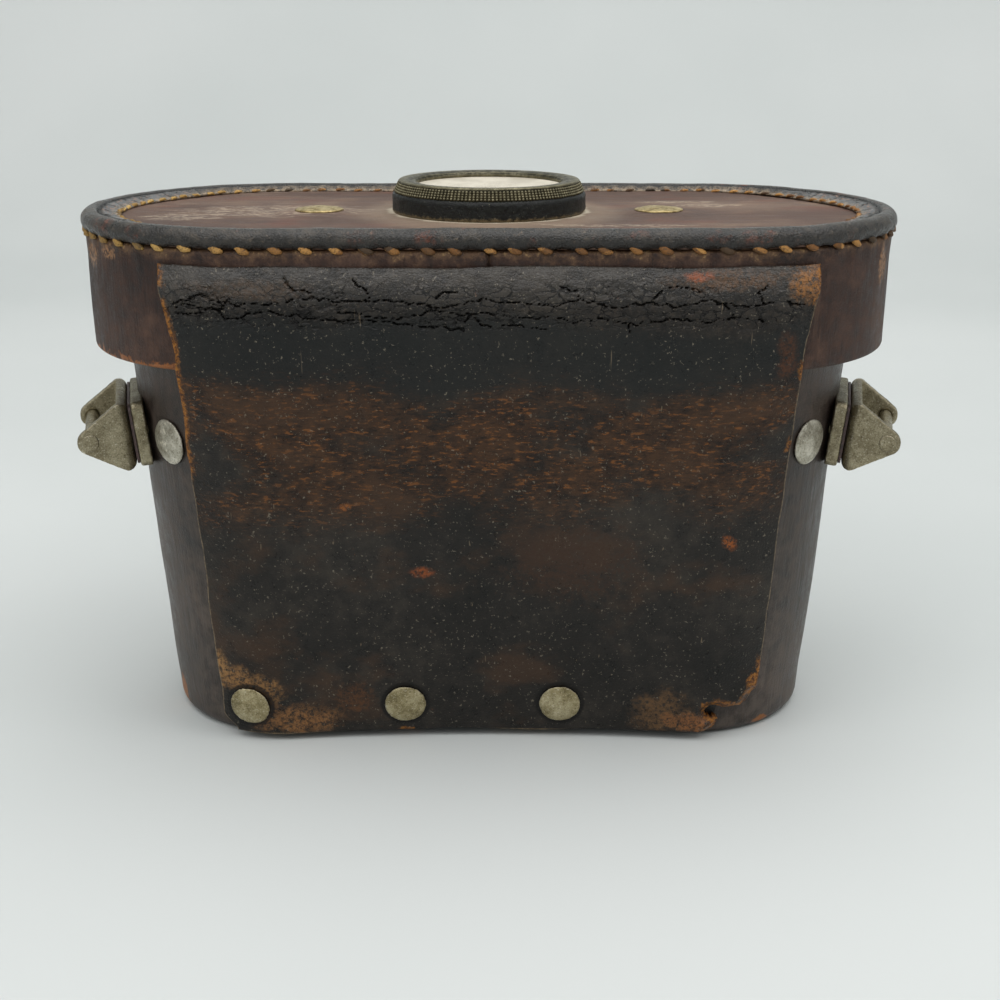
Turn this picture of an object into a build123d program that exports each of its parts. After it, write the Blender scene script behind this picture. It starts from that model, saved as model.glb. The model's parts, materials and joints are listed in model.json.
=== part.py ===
"""Moulded leather hard case for a binocular, with a hinged lid and a compass let into the lid.

Millimetres, +Z up. The origin is the centre of the base, on the surface that the case stands on.
The leather hinge is at the back (-Y), the closing tab at the front (+Y), a strap clevis at each end.
Every piece is written to parts/NAME.step at rest: the lid is shut and the closing tab hangs off its stud.
"""
from build123d import *
import math
import os

# ---------------------------------------------------------------- leather body
CASE_HEIGHT = 110.0         # mouth of the leather body above the floor
BASE_HALF_LENGTH = 82.0     # plan at the floor: two lobes with a drawn-in waist
BASE_LOBE = 31.0            # half the depth over a lobe
BASE_HOLLOW = 2.7           # how far the waist is drawn in
MOUTH_HALF_LENGTH = 90.0    # plan at the mouth
MOUTH_LOBE = 40.3
MOUTH_HOLLOW = 0.4
WALL = 3.2                  # leather of the body wall
BASE_THICKNESS = 3.6        # leather of the base panel
BASE_ROUND = 3.0            # worn round on the wall's lower edge
MOUTH_ROUND = 1.0           # burnished round on the wall's upper edge
LINING = 1.5                # felt on the wall
PAD = 1.9                   # felt on the base panel
COLLAR = 2.0                # leather of the upright neck inside the mouth
COLLAR_DEPTH = 15.0         # how far the neck reaches down inside the wall

# ---------------------------------------------------------------- lid
SKIRT_DROP = 14.0           # the skirt's lower edge hangs this far below the mouth
SKIRT_RISE = 14.0           # the lid top lies on the skirt this far above the mouth
SKIRT_FOOT_HALF_LENGTH = 97.2
SKIRT_FOOT_LOBE = 45.0
SKIRT_HEAD_HALF_LENGTH = 97.5
SKIRT_HEAD_LOBE = 46.0
LID_BULGE = 0.4             # how far the long sides of the lid bow outwards
SKIRT = 3.0                 # leather of the skirt
SKIRT_SEAM = 0.4            # open butt seam at the back of the skirt
LID_TOP = 2.7               # leather of the lid top
LID_LINING = 1.5            # felt under the lid top
RIM_LAP = 1.0               # binding leather outside the skirt
RIM_DROP = 1.3              # how far the binding hangs down over the skirt
RIM_RISE = 1.7              # how far the rolled rim stands above the lid top
RIM_WIDTH = 5.6             # rim seen from above
RIM_ROLL = 2.2              # rolled outer corner

# ---------------------------------------------------------------- hinge panel
PANEL = 3.0                 # leather of the hinge panel
PANEL_LOW = 4.6             # height of its lower edge
PANEL_TOP_DROP = 3.2        # its upper edge ends this far below the lid top
PANEL_LOW_HALF = 66.2       # half its width at the lower edge
PANEL_HIGH_HALF = 70.8      # half its width at the upper edge
PANEL_SHOULDER = 2.0        # rounded upper edge
CREASE_GAP = 0.3            # between its two runs, at the crease
PANEL_RIVET_HEIGHT = 10.0
PANEL_RIVET_PITCH = 38.2
PANEL_RIVET_ROW = 4         # holes in the row; the last one has lost its rivet
PANEL_RIVET_SHIFT = 1.6     # the row sits this far left of the middle
TORN_REACH = 16.0           # from the empty hole to past the torn corner

# ---------------------------------------------------------------- rivets
RIVET_SHANK = 1.7           # radius
RIVET_HEAD = 5.1            # radius
RIVET_DOME = 1.3
BURR = 4.0                  # radius
BURR_THICKNESS = 0.8
TAIL = 2.5                  # radius of the peened tail
TAIL_HEIGHT = 0.6
HOLE_FIT = 0.1              # radial clearance of a shank in its hole
HOLE_REACH = 15.0           # a shank hole is drilled this far each way from its place
SEAT = 0.4                  # a flat burr stands this far off a curved wall
PANEL_BURR_SEAT = 0.8       # the panel leans more than the wall, so its burrs stand further off
HEAD_SEAT = 0.12            # a flat head stands this far off a hollow wall
SIDE_RIVET_HEAD = 5.6       # radius
SIDE_RIVET_X = 76.0
SIDE_RIVET_DROP = 0.5       # below the middle of the strap plate

# ---------------------------------------------------------------- strap fittings
FITTING_DROP = 34.0         # from the mouth down to the middle of the strap plate
FITTING_SUNK = 1.2          # the plate's flat seat is pressed this deep into the end wall
FITTING_TILT = 6.0          # the end wall leans out by about this, degrees
FITTING_TURN = 13.0         # the fittings sit this far round each end towards the hinge, degrees
BAND = 1.2                  # sheet metal inside the end wall
BAND_HEIGHT = 18.0
BAND_INNER_X = 70.0         # the band covers the end beyond this
PLATE_WIDTH = 29.0
PLATE_HEIGHT = 16.2
PLATE_THICKNESS = 3.0
PLATE_CORNER = 2.0
PLATE_EDGE = 0.5
PLATE_RIVET_SPACING = 17.0
PLATE_RIVET_SHANK = 1.5     # radius
PLATE_RIVET_COUNTERSINK = 2.6
WASHER_THICKNESS = 0.6
WASHER_MARGIN = 0.7         # the washer is smaller than the plate all round
SWIVEL_PLAY = 0.1           # axial play on each face of the washer
STUD_SHANK = 2.5            # radius
STUD_HEAD = 4.2             # radius
STUD_HEAD_SUNK = 1.5        # depth of its countersink in the web
CLEVIS_WEB = 2.6
CLEVIS_EAR = 2.2
CLEVIS_HEIGHT = 16.6
CLEVIS_WIDTH = 29.0
CLEVIS_FOLD = 2.4           # outer bend radius
CLEVIS_INNER_FOLD = 0.6     # inner bend radius
EAR_CORNER = 2.0            # rounded corner of an ear at the web
EAR_NOSE = 3.1              # rounded nose round the pin
PIN_REACH = 9.9             # pin axis from the back of the web
PIN = 1.55                  # radius
PIN_HEAD = 2.1              # radius of each peened end
PIN_PROUD = 0.3

# ---------------------------------------------------------------- compass
COMPASS_RADIUS = 23.5       # painted case above the lid
COMPASS_STAND = 4.7         # painted band above the lid leather
BARREL_RADIUS = 20.9        # part that passes through the lid
BARREL_DEPTH = 9.0          # how far it reaches below the lid top's upper face
BARREL_WALL = 1.4
BARREL_FIT = 0.2
BEZEL_FOOT_RADIUS = 23.2
BEZEL_CROWN_RADIUS = 22.2
BEZEL_HEIGHT = 2.9
BEZEL_ROWS = 4              # rows of knurling, one above the other
BEZEL_GROOVE = 0.3          # depth between the rows
LIP_RADIUS = 16.8           # opening over the crystal
LIP_THICKNESS = 0.7
CRYSTAL_RADIUS = 18.4
CRYSTAL_THICKNESS = 1.5
CRYSTAL_FIT = 0.1
DIAL_RADIUS = 17.6
DIAL_THICKNESS = 0.8
DIAL_DROP = 3.4             # dial face below the underside of the crystal
PIVOT_RADIUS = 0.6
PIVOT_HEIGHT = 1.7
NEEDLE_LENGTH = 29.0
NEEDLE_WIDTH = 3.2
NEEDLE_THICKNESS = 0.4
NEEDLE_CAP = 2.0            # radius
NEEDLE_CAP_HEIGHT = 1.0
PIVOT_FIT = 0.06
LOCK_RING_WIDTH = 4.0
LOCK_RING_THICKNESS = 1.8
STAY_THICKNESS = 1.2
STAY_WIDTH = 11.0
STAY_RING_WIDTH = 5.0
STAY_END = 6.5              # beyond the rivet
LID_RIVET_X = 41.5
LID_RIVET_HEAD = 6.0        # radius
LID_RIVET_DOME = 0.9

# ---------------------------------------------------------------- front closure
TAB_WIDTH = 24.0
TAB = 2.8                   # leather of the tab
TAB_ANCHOR = 23.0           # upper edge of the part riveted to the skirt, above the skirt's foot
TAB_RIVET_RISES = (17.0, 7.5)   # above the skirt's foot
TAB_RIVET_HEAD = 3.6        # radius
TAB_LENGTH = 38.0           # free part, below the skirt
TAB_LIFT = 28.0             # how far it hangs off the stud at rest, degrees
CLOSING_STUD_DROP = 38.0    # below the mouth
CLOSING_STUD_BASE = 6.0     # radius
CLOSING_STUD_BASE_HEIGHT = 1.2
CLOSING_STUD_NECK = 1.8     # radius
CLOSING_STUD_BALL = 3.2     # radius
CLOSING_STUD_REACH = 8.2    # ball centre from the wall
SLOT_WIDTH = 7.0
SLOT_LENGTH = 10.6
SLOT_RISE = 2.0             # middle of the slot above the stud, for the swing

# ---------------------------------------------------------------- worked out from the above
SKIRT_FOOT = CASE_HEIGHT - SKIRT_DROP
SKIRT_HEAD = CASE_HEIGHT + SKIRT_RISE
PANEL_HIGH = SKIRT_HEAD - PANEL_TOP_DROP
FITTING_HEIGHT = CASE_HEIGHT - FITTING_DROP
SIDE_RIVET_HEIGHT = FITTING_HEIGHT - SIDE_RIVET_DROP
TAB_RIVET_HEIGHTS = [SKIRT_FOOT + rise for rise in TAB_RIVET_RISES]
CLOSING_STUD_HEIGHT = CASE_HEIGHT - CLOSING_STUD_DROP
BASE = (BASE_HALF_LENGTH, BASE_LOBE, BASE_HOLLOW)
MOUTH = (MOUTH_HALF_LENGTH, MOUTH_LOBE, MOUTH_HOLLOW)
SKIRT_LOW = (SKIRT_FOOT_HALF_LENGTH, SKIRT_FOOT_LOBE, -LID_BULGE)
SKIRT_TOP = (SKIRT_HEAD_HALF_LENGTH, SKIRT_HEAD_LOBE, -LID_BULGE)
BODY_FORM = (BASE, MOUTH, 0.0, CASE_HEIGHT)
SKIRT_FORM = (SKIRT_LOW, SKIRT_TOP, SKIRT_FOOT, SKIRT_HEAD)
LID_FACE = SKIRT_HEAD + LID_TOP
LID_UNDER = SKIRT_HEAD - LID_LINING
HINGE_Y = -(SKIRT_FOOT_LOBE + LID_BULGE + PANEL)
TAB_HINGE_Y = SKIRT_FOOT_LOBE + LID_BULGE + TAB
REACH = 200.0               # half size of a cutting block, larger than the case

PARTS = {}


def keep(name, shape):
    """Remember one piece under the name of its file."""
    PARTS[name] = shape


# ---------------------------------------------------------------- plan outlines and tapered walls
def oval(size, inset=0.0, height=0.0):
    """Plan face: two round ends joined by a long arc on each side, hollow or bulging."""
    half_length, lobe = size[0] - inset, size[1] - inset
    centre = half_length - lobe
    waist = lobe - size[2]
    bow = (waist ** 2 + centre ** 2 - lobe ** 2) / (2 * size[2])
    x = centre * bow / (lobe + bow)
    y = lobe * (waist + bow) / (lobe + bow)
    outline = [
        ThreePointArc((x, -y), (half_length, 0), (x, y)),
        ThreePointArc((x, y), (0, waist), (-x, y)),
        ThreePointArc((-x, y), (-half_length, 0), (-x, -y)),
        ThreePointArc((-x, -y), (0, -waist), (x, -y)),
    ]
    return Pos(0, 0, height) * make_face(outline)


def slab(low, high):
    """Everything between two heights."""
    return Pos(0, 0, (low + high) / 2) * Box(2 * REACH, 2 * REACH, high - low)


def tapered(form, inset, low, high):
    """Solid slice of a tapered form, its wall moved in by inset."""
    foot, head, bottom, top = form
    whole = loft([oval(foot, inset, bottom), oval(head, inset, top)], ruled=True)
    return whole & slab(low, high)


def size_at(form, height):
    """Half length, lobe and hollow of a tapered form at one height."""
    foot, head, bottom, top = form
    share = (height - bottom) / (top - bottom)
    return tuple(a + (b - a) * share for a, b in zip(foot, head))


def wall_point(form, x, height, side):
    """Point on a tapered wall; side is -1 at the back and 1 at the front."""
    half_length, lobe, hollow = size_at(form, height)
    centre = half_length - lobe
    waist = lobe - hollow
    bow = (waist ** 2 + centre ** 2 - lobe ** 2) / (2 * hollow)
    if abs(x) > centre * bow / (lobe + bow):
        y = math.sqrt(lobe ** 2 - (abs(x) - centre) ** 2)
    else:
        y = waist + bow - math.copysign(math.sqrt(bow ** 2 - x ** 2), bow)
    return Vector(x, side * y, height)


def wall_plane(form, x, height, side, proud=0.0):
    """Plane on a wall, Z outwards and Y up; it lies against the wall within a millimetre of the point."""
    step = 0.5
    run = wall_point(form, x + step, height, side) - wall_point(form, x - step, height, side)
    rise = wall_point(form, x, height + step, side) - wall_point(form, x, height - step, side)
    outward = (rise.cross(run) * side).normalized()
    across = Vector(0, 0, 1).cross(outward)
    origin = wall_point(form, x, height, side) + outward * proud
    return Plane(origin=origin, x_dir=across, z_dir=outward)


# ---------------------------------------------------------------- rivets
def rivet(head, dome, shank, grip, tail, tail_height):
    """Domed rivet: its head sits on z = 0, its peened tail at z = -grip."""
    rim = dome * 0.35
    cap = dome - rim
    ball = (head ** 2 + cap ** 2) / (2 * cap)
    body = Pos(0, 0, rim / 2) * Cylinder(head, rim)
    body += Pos(0, 0, dome - ball) * Sphere(ball) & Pos(0, 0, rim + cap / 2) * Cylinder(head, cap)
    body += Pos(0, 0, -grip / 2) * Cylinder(shank, grip)
    return body + Pos(0, 0, -grip - tail_height / 2) * Cone(tail * 0.7, tail, tail_height)


def burr(outer, shank, thickness, depth):
    """Washer round a rivet's tail, its far face at z = -depth."""
    ring = Cylinder(outer, thickness) - Cylinder(shank + HOLE_FIT, thickness)
    return Pos(0, 0, -depth + thickness / 2) * ring


def shank_hole(shank, depth):
    """Drill for a shank, through everything near z = 0."""
    return Cylinder(shank + HOLE_FIT, depth)


def group(shapes):
    """Several separate solids in one piece of the list."""
    return Compound(children=[solid for shape in shapes for solid in shape.solids()])


# ---------------------------------------------------------------- places of the fasteners
PANEL_FORM = (
    tuple(a + b for a, b in zip(size_at(BODY_FORM, PANEL_LOW), (PANEL, PANEL, 0))),
    (SKIRT_FOOT_HALF_LENGTH + PANEL, SKIRT_FOOT_LOBE + PANEL, -LID_BULGE),
    PANEL_LOW, SKIRT_FOOT,
)
PANEL_HEAD_FORM = (
    (SKIRT_FOOT_HALF_LENGTH + PANEL, SKIRT_FOOT_LOBE + PANEL, -LID_BULGE),
    (SKIRT_HEAD_HALF_LENGTH + PANEL, SKIRT_HEAD_LOBE + PANEL, -LID_BULGE),
    SKIRT_FOOT, SKIRT_HEAD,
)
PANEL_STAND = size_at(PANEL_FORM, PANEL_RIVET_HEIGHT)[1] - size_at(BODY_FORM, PANEL_RIVET_HEIGHT)[1]
PANEL_THROUGH = PANEL_STAND + WALL + LINING
PANEL_RIVET_XS = [
    PANEL_RIVET_PITCH * (i - (PANEL_RIVET_ROW - 1) / 2) - PANEL_RIVET_SHIFT for i in range(PANEL_RIVET_ROW)
]
PANEL_RIVET_PLANES = [wall_plane(PANEL_FORM, x, PANEL_RIVET_HEIGHT, -1, HEAD_SEAT) for x in PANEL_RIVET_XS]
SIDE_RIVET_PLANES = [
    wall_plane(BODY_FORM, x * SIDE_RIVET_X, SIDE_RIVET_HEIGHT, side) for x in (-1, 1) for side in (-1, 1)
]


def end_plane(side, across=0.0):
    """Plane on a strap fitting: Z along its axis, out of the case; X along the plate, away from the hinge."""
    tilt, turn = math.radians(FITTING_TILT), math.radians(FITTING_TURN)
    half_length, lobe, _ = size_at(BODY_FORM, FITTING_HEIGHT)
    flat = Vector(side * math.cos(turn), -math.sin(turn), 0)
    along = Vector(side * math.sin(turn), math.cos(turn), 0)
    outward = flat * math.cos(tilt) - Vector(0, 0, math.sin(tilt))
    seat = Vector(side * (half_length - lobe), 0, FITTING_HEIGHT) + flat * (lobe - FITTING_SUNK)
    return Plane(origin=seat + along * across, x_dir=along, z_dir=outward)


FITTING_GRIP = WALL + BAND + SEAT * 2 - FITTING_SUNK
STUD_WALL_PLANE = wall_plane(BODY_FORM, 0, CLOSING_STUD_HEIGHT, 1, HEAD_SEAT)
TAB_RIVET_PLANES = [wall_plane(SKIRT_FORM, 0, height, 1, TAB) for height in TAB_RIVET_HEIGHTS]


# ---------------------------------------------------------------- body
def drilled(shape, places, shank):
    """Shape with a shank hole at each place."""
    for place in places:
        shape = shape - place * shank_hole(shank, 2 * HOLE_REACH)
    return shape


def make_body():
    """Leather wall, base panel, neck, felt and pad."""
    block = tapered(BODY_FORM, 0, 0, CASE_HEIGHT)
    block = fillet(block.edges().group_by(Axis.Z)[0], BASE_ROUND)
    block = fillet(block.edges().group_by(Axis.Z)[-1], MOUTH_ROUND)
    shell = block - tapered(BODY_FORM, WALL, 0, CASE_HEIGHT)
    collar_low = CASE_HEIGHT - COLLAR_DEPTH
    lining = tapered(BODY_FORM, WALL, BASE_THICKNESS, collar_low)
    lining = lining - tapered(BODY_FORM, WALL + LINING, BASE_THICKNESS, collar_low)
    collar = tapered(BODY_FORM, WALL, collar_low, CASE_HEIGHT)
    collar += extrude(oval(MOUTH, WALL, CASE_HEIGHT), LID_UNDER - SEAT - CASE_HEIGHT)
    collar -= tapered(BODY_FORM, WALL + COLLAR, collar_low, CASE_HEIGHT)
    collar -= extrude(oval(MOUTH, WALL + COLLAR, CASE_HEIGHT), LID_UNDER - CASE_HEIGHT)
    for side in (-1, 1):
        seat = end_plane(side) * Pos(0, 0, WALL * 2) * Box(PLATE_WIDTH, PLATE_HEIGHT, WALL * 4)
        shell -= seat
        window = Pos(side * (BAND_INNER_X - SEAT + REACH), 0, FITTING_HEIGHT)
        lining -= window * Box(2 * REACH, 2 * REACH, BAND_HEIGHT + 2 * SEAT)
        shell = drilled(shell, [end_plane(side)], STUD_SHANK)
        shell = drilled(shell, plate_rivet_planes(side), PLATE_RIVET_SHANK)
    for places in (PANEL_RIVET_PLANES, [STUD_WALL_PLANE]):
        shell = drilled(shell, places, RIVET_SHANK)
        lining = drilled(lining, places, RIVET_SHANK)
    shell = drilled(shell, SIDE_RIVET_PLANES, RIVET_SHANK)
    keep("body_shell", shell)
    keep("base_panel", tapered(BODY_FORM, WALL, 0, BASE_THICKNESS))
    keep("mouth_collar", collar)
    keep("body_lining", lining)
    keep("base_pad", tapered(BODY_FORM, WALL + LINING, BASE_THICKNESS, BASE_THICKNESS + PAD))


# ---------------------------------------------------------------- hinge panel
def panel_width_at(height):
    """Half the panel's width, wider towards the lid."""
    share = (height - PANEL_LOW) / (PANEL_HIGH - PANEL_LOW)
    return PANEL_LOW_HALF + (PANEL_HIGH_HALF - PANEL_LOW_HALF) * share


def panel_run(form, low, high):
    """Part of the panel between two heights, on the back of a form."""
    strip = tapered(form, 0, low, high) - tapered(form, PANEL, low, high)
    a, b = panel_width_at(low), panel_width_at(high)
    face = Plane.XZ * make_face(Polyline((-a, low), (a, low), (b, high), (-b, high), close=True))
    return strip & extrude(face, REACH)


def make_hinge_panel():
    """One piece of leather, in two runs that meet at the crease under the skirt."""
    lower = panel_run(PANEL_FORM, PANEL_LOW, SKIRT_FOOT - CREASE_GAP / 2)
    lower = drilled(lower, PANEL_RIVET_PLANES, RIVET_SHANK)
    empty = PANEL_RIVET_PLANES[-1]
    tear = Polyline((0, 0), (TORN_REACH * 0.5, -TORN_REACH), (TORN_REACH, -TORN_REACH * 0.2), close=True)
    lower -= empty * extrude(make_face(tear), PANEL * 2, both=True)
    keep("hinge_panel", lower)
    upper = panel_run(PANEL_HEAD_FORM, SKIRT_FOOT + CREASE_GAP / 2, PANEL_HIGH)
    outer_top = upper.edges().group_by(Axis.Z)[-1].group_by(Axis.Y)[0]
    keep("hinge_panel_lid_run", fillet(outer_top, PANEL_SHOULDER))
    depth = PANEL_THROUGH + PANEL_BURR_SEAT
    one = rivet(RIVET_HEAD, RIVET_DOME, RIVET_SHANK, depth + BURR_THICKNESS, TAIL, TAIL_HEIGHT)
    washer = burr(BURR, RIVET_SHANK, BURR_THICKNESS, depth + BURR_THICKNESS)
    keep("panel_rivets", group([place * one for place in PANEL_RIVET_PLANES[:-1]]))
    keep("panel_rivet_burrs", group([place * washer for place in PANEL_RIVET_PLANES[:-1]]))


# ---------------------------------------------------------------- strap fittings
def plate_rivet_planes(side):
    """Places of the two rivets that hold a strap plate."""
    half = PLATE_RIVET_SPACING / 2
    return [end_plane(side, across=y) for y in (-half, half)]


def make_end_bands():
    """Sheet metal round the inside of each end, and the four side rivets."""
    low = FITTING_HEIGHT - BAND_HEIGHT / 2
    high = FITTING_HEIGHT + BAND_HEIGHT / 2
    ring = tapered(BODY_FORM, WALL, low, high) - tapered(BODY_FORM, WALL + BAND, low, high)
    ring = drilled(ring, SIDE_RIVET_PLANES, RIVET_SHANK)
    for side, name in ((-1, "left"), (1, "right")):
        band = ring & (Pos(side * (BAND_INNER_X + REACH), 0, 0) * Box(2 * REACH, 2 * REACH, 2 * REACH))
        band = drilled(band, [end_plane(side)], STUD_SHANK)
        band = drilled(band, plate_rivet_planes(side), PLATE_RIVET_SHANK)
        keep(name + "_end_band", band)
    one = rivet(SIDE_RIVET_HEAD, RIVET_DOME, RIVET_SHANK, WALL + BAND + SEAT, TAIL, TAIL_HEIGHT)
    keep("side_rivets", group([place * one for place in SIDE_RIVET_PLANES]))


def plate_blank(margin, thickness, corner):
    """Flat plate with rounded corners, its back on z = 0."""
    outline = RectangleRounded(PLATE_WIDTH - 2 * margin, PLATE_HEIGHT - 2 * margin, corner)
    return extrude(outline, thickness)


def countersunk(head, shank, depth):
    """Cone from a head's radius at z = 0 down to the shank's."""
    return Pos(0, 0, -depth / 2) * Cone(shank, head, depth)


def make_strap_plates():
    """Flat plate on each end wall, held by two sunk rivets."""
    plate = plate_blank(0, PLATE_THICKNESS, PLATE_CORNER)
    plate = fillet(plate.edges().group_by(Axis.Z)[-1], PLATE_EDGE)
    cone = countersunk(PLATE_RIVET_COUNTERSINK, PLATE_RIVET_SHANK, PLATE_THICKNESS / 2)
    sink = Pos(0, 0, PLATE_THICKNESS) * cone
    spread = PLATE_RIVET_SPACING / 2 + PLATE_RIVET_COUNTERSINK
    sag = spread ** 2 / (2 * (size_at(BODY_FORM, FITTING_HEIGHT)[1] - WALL - BAND))
    grip = FITTING_GRIP + sag
    shank = Pos(0, 0, (PLATE_THICKNESS - grip) / 2) * Cylinder(PLATE_RIVET_SHANK, PLATE_THICKNESS + grip)
    tail = Pos(0, 0, -grip - TAIL_HEIGHT / 2) * Cylinder(PLATE_RIVET_COUNTERSINK, TAIL_HEIGHT)
    pin = shank + tail + sink
    half = PLATE_RIVET_SPACING / 2
    plate -= shank_hole(STUD_SHANK, PLATE_THICKNESS * 3)
    for y in (-half, half):
        plate -= Pos(y, 0, 0) * (sink + shank_hole(PLATE_RIVET_SHANK, PLATE_THICKNESS * 3))
    rivets = []
    for side, name in ((-1, "left"), (1, "right")):
        keep(name + "_strap_plate", end_plane(side) * plate)
        rivets += [place * pin for place in plate_rivet_planes(side)]
    keep("strap_plate_rivets", group(rivets))


def clevis_blank():
    """U-shaped bracket bent from strip, then cut to two rounded triangular ears; its back on z = 0."""
    depth = PIN_REACH + EAR_NOSE
    strip = Pos(0, depth / 2) * Rectangle(CLEVIS_WIDTH, depth)
    strip = fillet(strip.vertices().group_by(Axis.Y)[0], CLEVIS_FOLD)
    gap = Pos(0, CLEVIS_WEB + depth / 2) * Rectangle(CLEVIS_WIDTH - 2 * CLEVIS_EAR, depth)
    gap = fillet(gap.vertices().group_by(Axis.Y)[0], CLEVIS_INNER_FOLD)
    bracket = Plane.XZ * extrude(strip - gap, CLEVIS_HEIGHT / 2, both=True)
    reach = CLEVIS_HEIGHT / 2 - EAR_CORNER
    rounds = [Pos(y, EAR_CORNER) * Circle(EAR_CORNER) for y in (-reach, reach)]
    rounds.append(Pos(0, PIN_REACH) * Circle(EAR_NOSE))
    ears = make_hull([item.edge() for item in rounds])
    bracket &= Plane.YZ * extrude(ears, CLEVIS_WIDTH, both=True)
    return bracket - Pos(0, 0, PIN_REACH) * Rot(0, 90, 0) * Cylinder(PIN, CLEVIS_WIDTH * 2)


def make_clevises():
    """Strap bracket on each end, turning on its stud, with the pin that the strap goes round."""
    clevis = clevis_blank()
    head = Pos(0, 0, CLEVIS_WEB) * countersunk(STUD_HEAD, STUD_SHANK, STUD_HEAD_SUNK)
    clevis -= head + shank_hole(STUD_SHANK, CLEVIS_WEB * 4)
    play = PLATE_THICKNESS + SWIVEL_PLAY
    web_back = play + WASHER_THICKNESS + SWIVEL_PLAY
    washer = plate_blank(WASHER_MARGIN, WASHER_THICKNESS, PLATE_CORNER)
    washer -= shank_hole(STUD_SHANK, WASHER_THICKNESS * 4)
    grip = FITTING_GRIP
    top = web_back + CLEVIS_WEB
    stud = Pos(0, 0, (top - grip) / 2) * Cylinder(STUD_SHANK, top + grip)
    stud += Pos(0, 0, top) * countersunk(STUD_HEAD - HOLE_FIT * 3, STUD_SHANK, STUD_HEAD_SUNK)
    stud += Pos(0, 0, -grip - TAIL_HEIGHT / 2) * Cylinder(STUD_HEAD, TAIL_HEIGHT)
    length = CLEVIS_WIDTH + 2 * PIN_PROUD
    pin = Cylinder(PIN, length)
    for end in (-1, 1):
        pin += Pos(0, 0, end * (length - PIN_PROUD) / 2) * Cylinder(PIN_HEAD, PIN_PROUD)
    for side, name in ((-1, "left"), (1, "right")):
        place = end_plane(side)
        keep(name + "_swivel_washer", place * Pos(0, 0, play) * washer)
        keep(name + "_swivel_stud", place * stud)
        keep(name + "_clevis", place * Pos(0, 0, web_back) * clevis)
        keep(name + "_strap_pin", place * Pos(0, 0, web_back + PIN_REACH) * Rot(0, 90, 0) * pin)


# ---------------------------------------------------------------- lid
def make_lid():
    """Skirt, top, rolled rim and felt."""
    skirt = tapered(SKIRT_FORM, 0, SKIRT_FOOT, SKIRT_HEAD)
    skirt -= tapered(SKIRT_FORM, SKIRT, SKIRT_FOOT, SKIRT_HEAD)
    skirt -= Pos(0, -REACH / 2, (SKIRT_FOOT + SKIRT_HEAD) / 2) * Box(SKIRT_SEAM, REACH, REACH)
    skirt = drilled(skirt, TAB_RIVET_PLANES, RIVET_SHANK)
    keep("lid_skirt", skirt)
    bore = Pos(0, 0, LID_FACE) * Cylinder(BARREL_RADIUS + BARREL_FIT, LID_TOP * 4)
    rivet_places = [Pos(x, 0, LID_FACE) for x in (-LID_RIVET_X, LID_RIVET_X)]
    top = extrude(oval(SKIRT_TOP, 0, SKIRT_HEAD), LID_TOP) - bore
    keep("lid_top", drilled(top, rivet_places, RIVET_SHANK))
    lining = tapered(SKIRT_FORM, SKIRT, LID_UNDER, SKIRT_HEAD) - bore
    keep("lid_lining", drilled(lining, rivet_places, RIVET_SHANK))
    rim_low = SKIRT_HEAD - RIM_DROP
    crown = LID_FACE + RIM_RISE
    rim = extrude(oval(SKIRT_TOP, -RIM_LAP, rim_low), crown - rim_low)
    rim -= extrude(oval(SKIRT_TOP, RIM_WIDTH - RIM_LAP, rim_low), crown - rim_low)
    outer = rim.edges().group_by(Axis.Z)[-1].sort_by(SortBy.LENGTH)[-4:]
    rim = fillet(outer, RIM_ROLL)
    rim -= extrude(oval(SKIRT_TOP, 0, rim_low), LID_FACE - rim_low)
    keep("lid_rim_binding", rim)


# ---------------------------------------------------------------- compass
def disc(radius, low, high):
    """Round solid on the compass axis between two heights."""
    return Pos(0, 0, (low + high) / 2) * Cylinder(radius, high - low)


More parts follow.
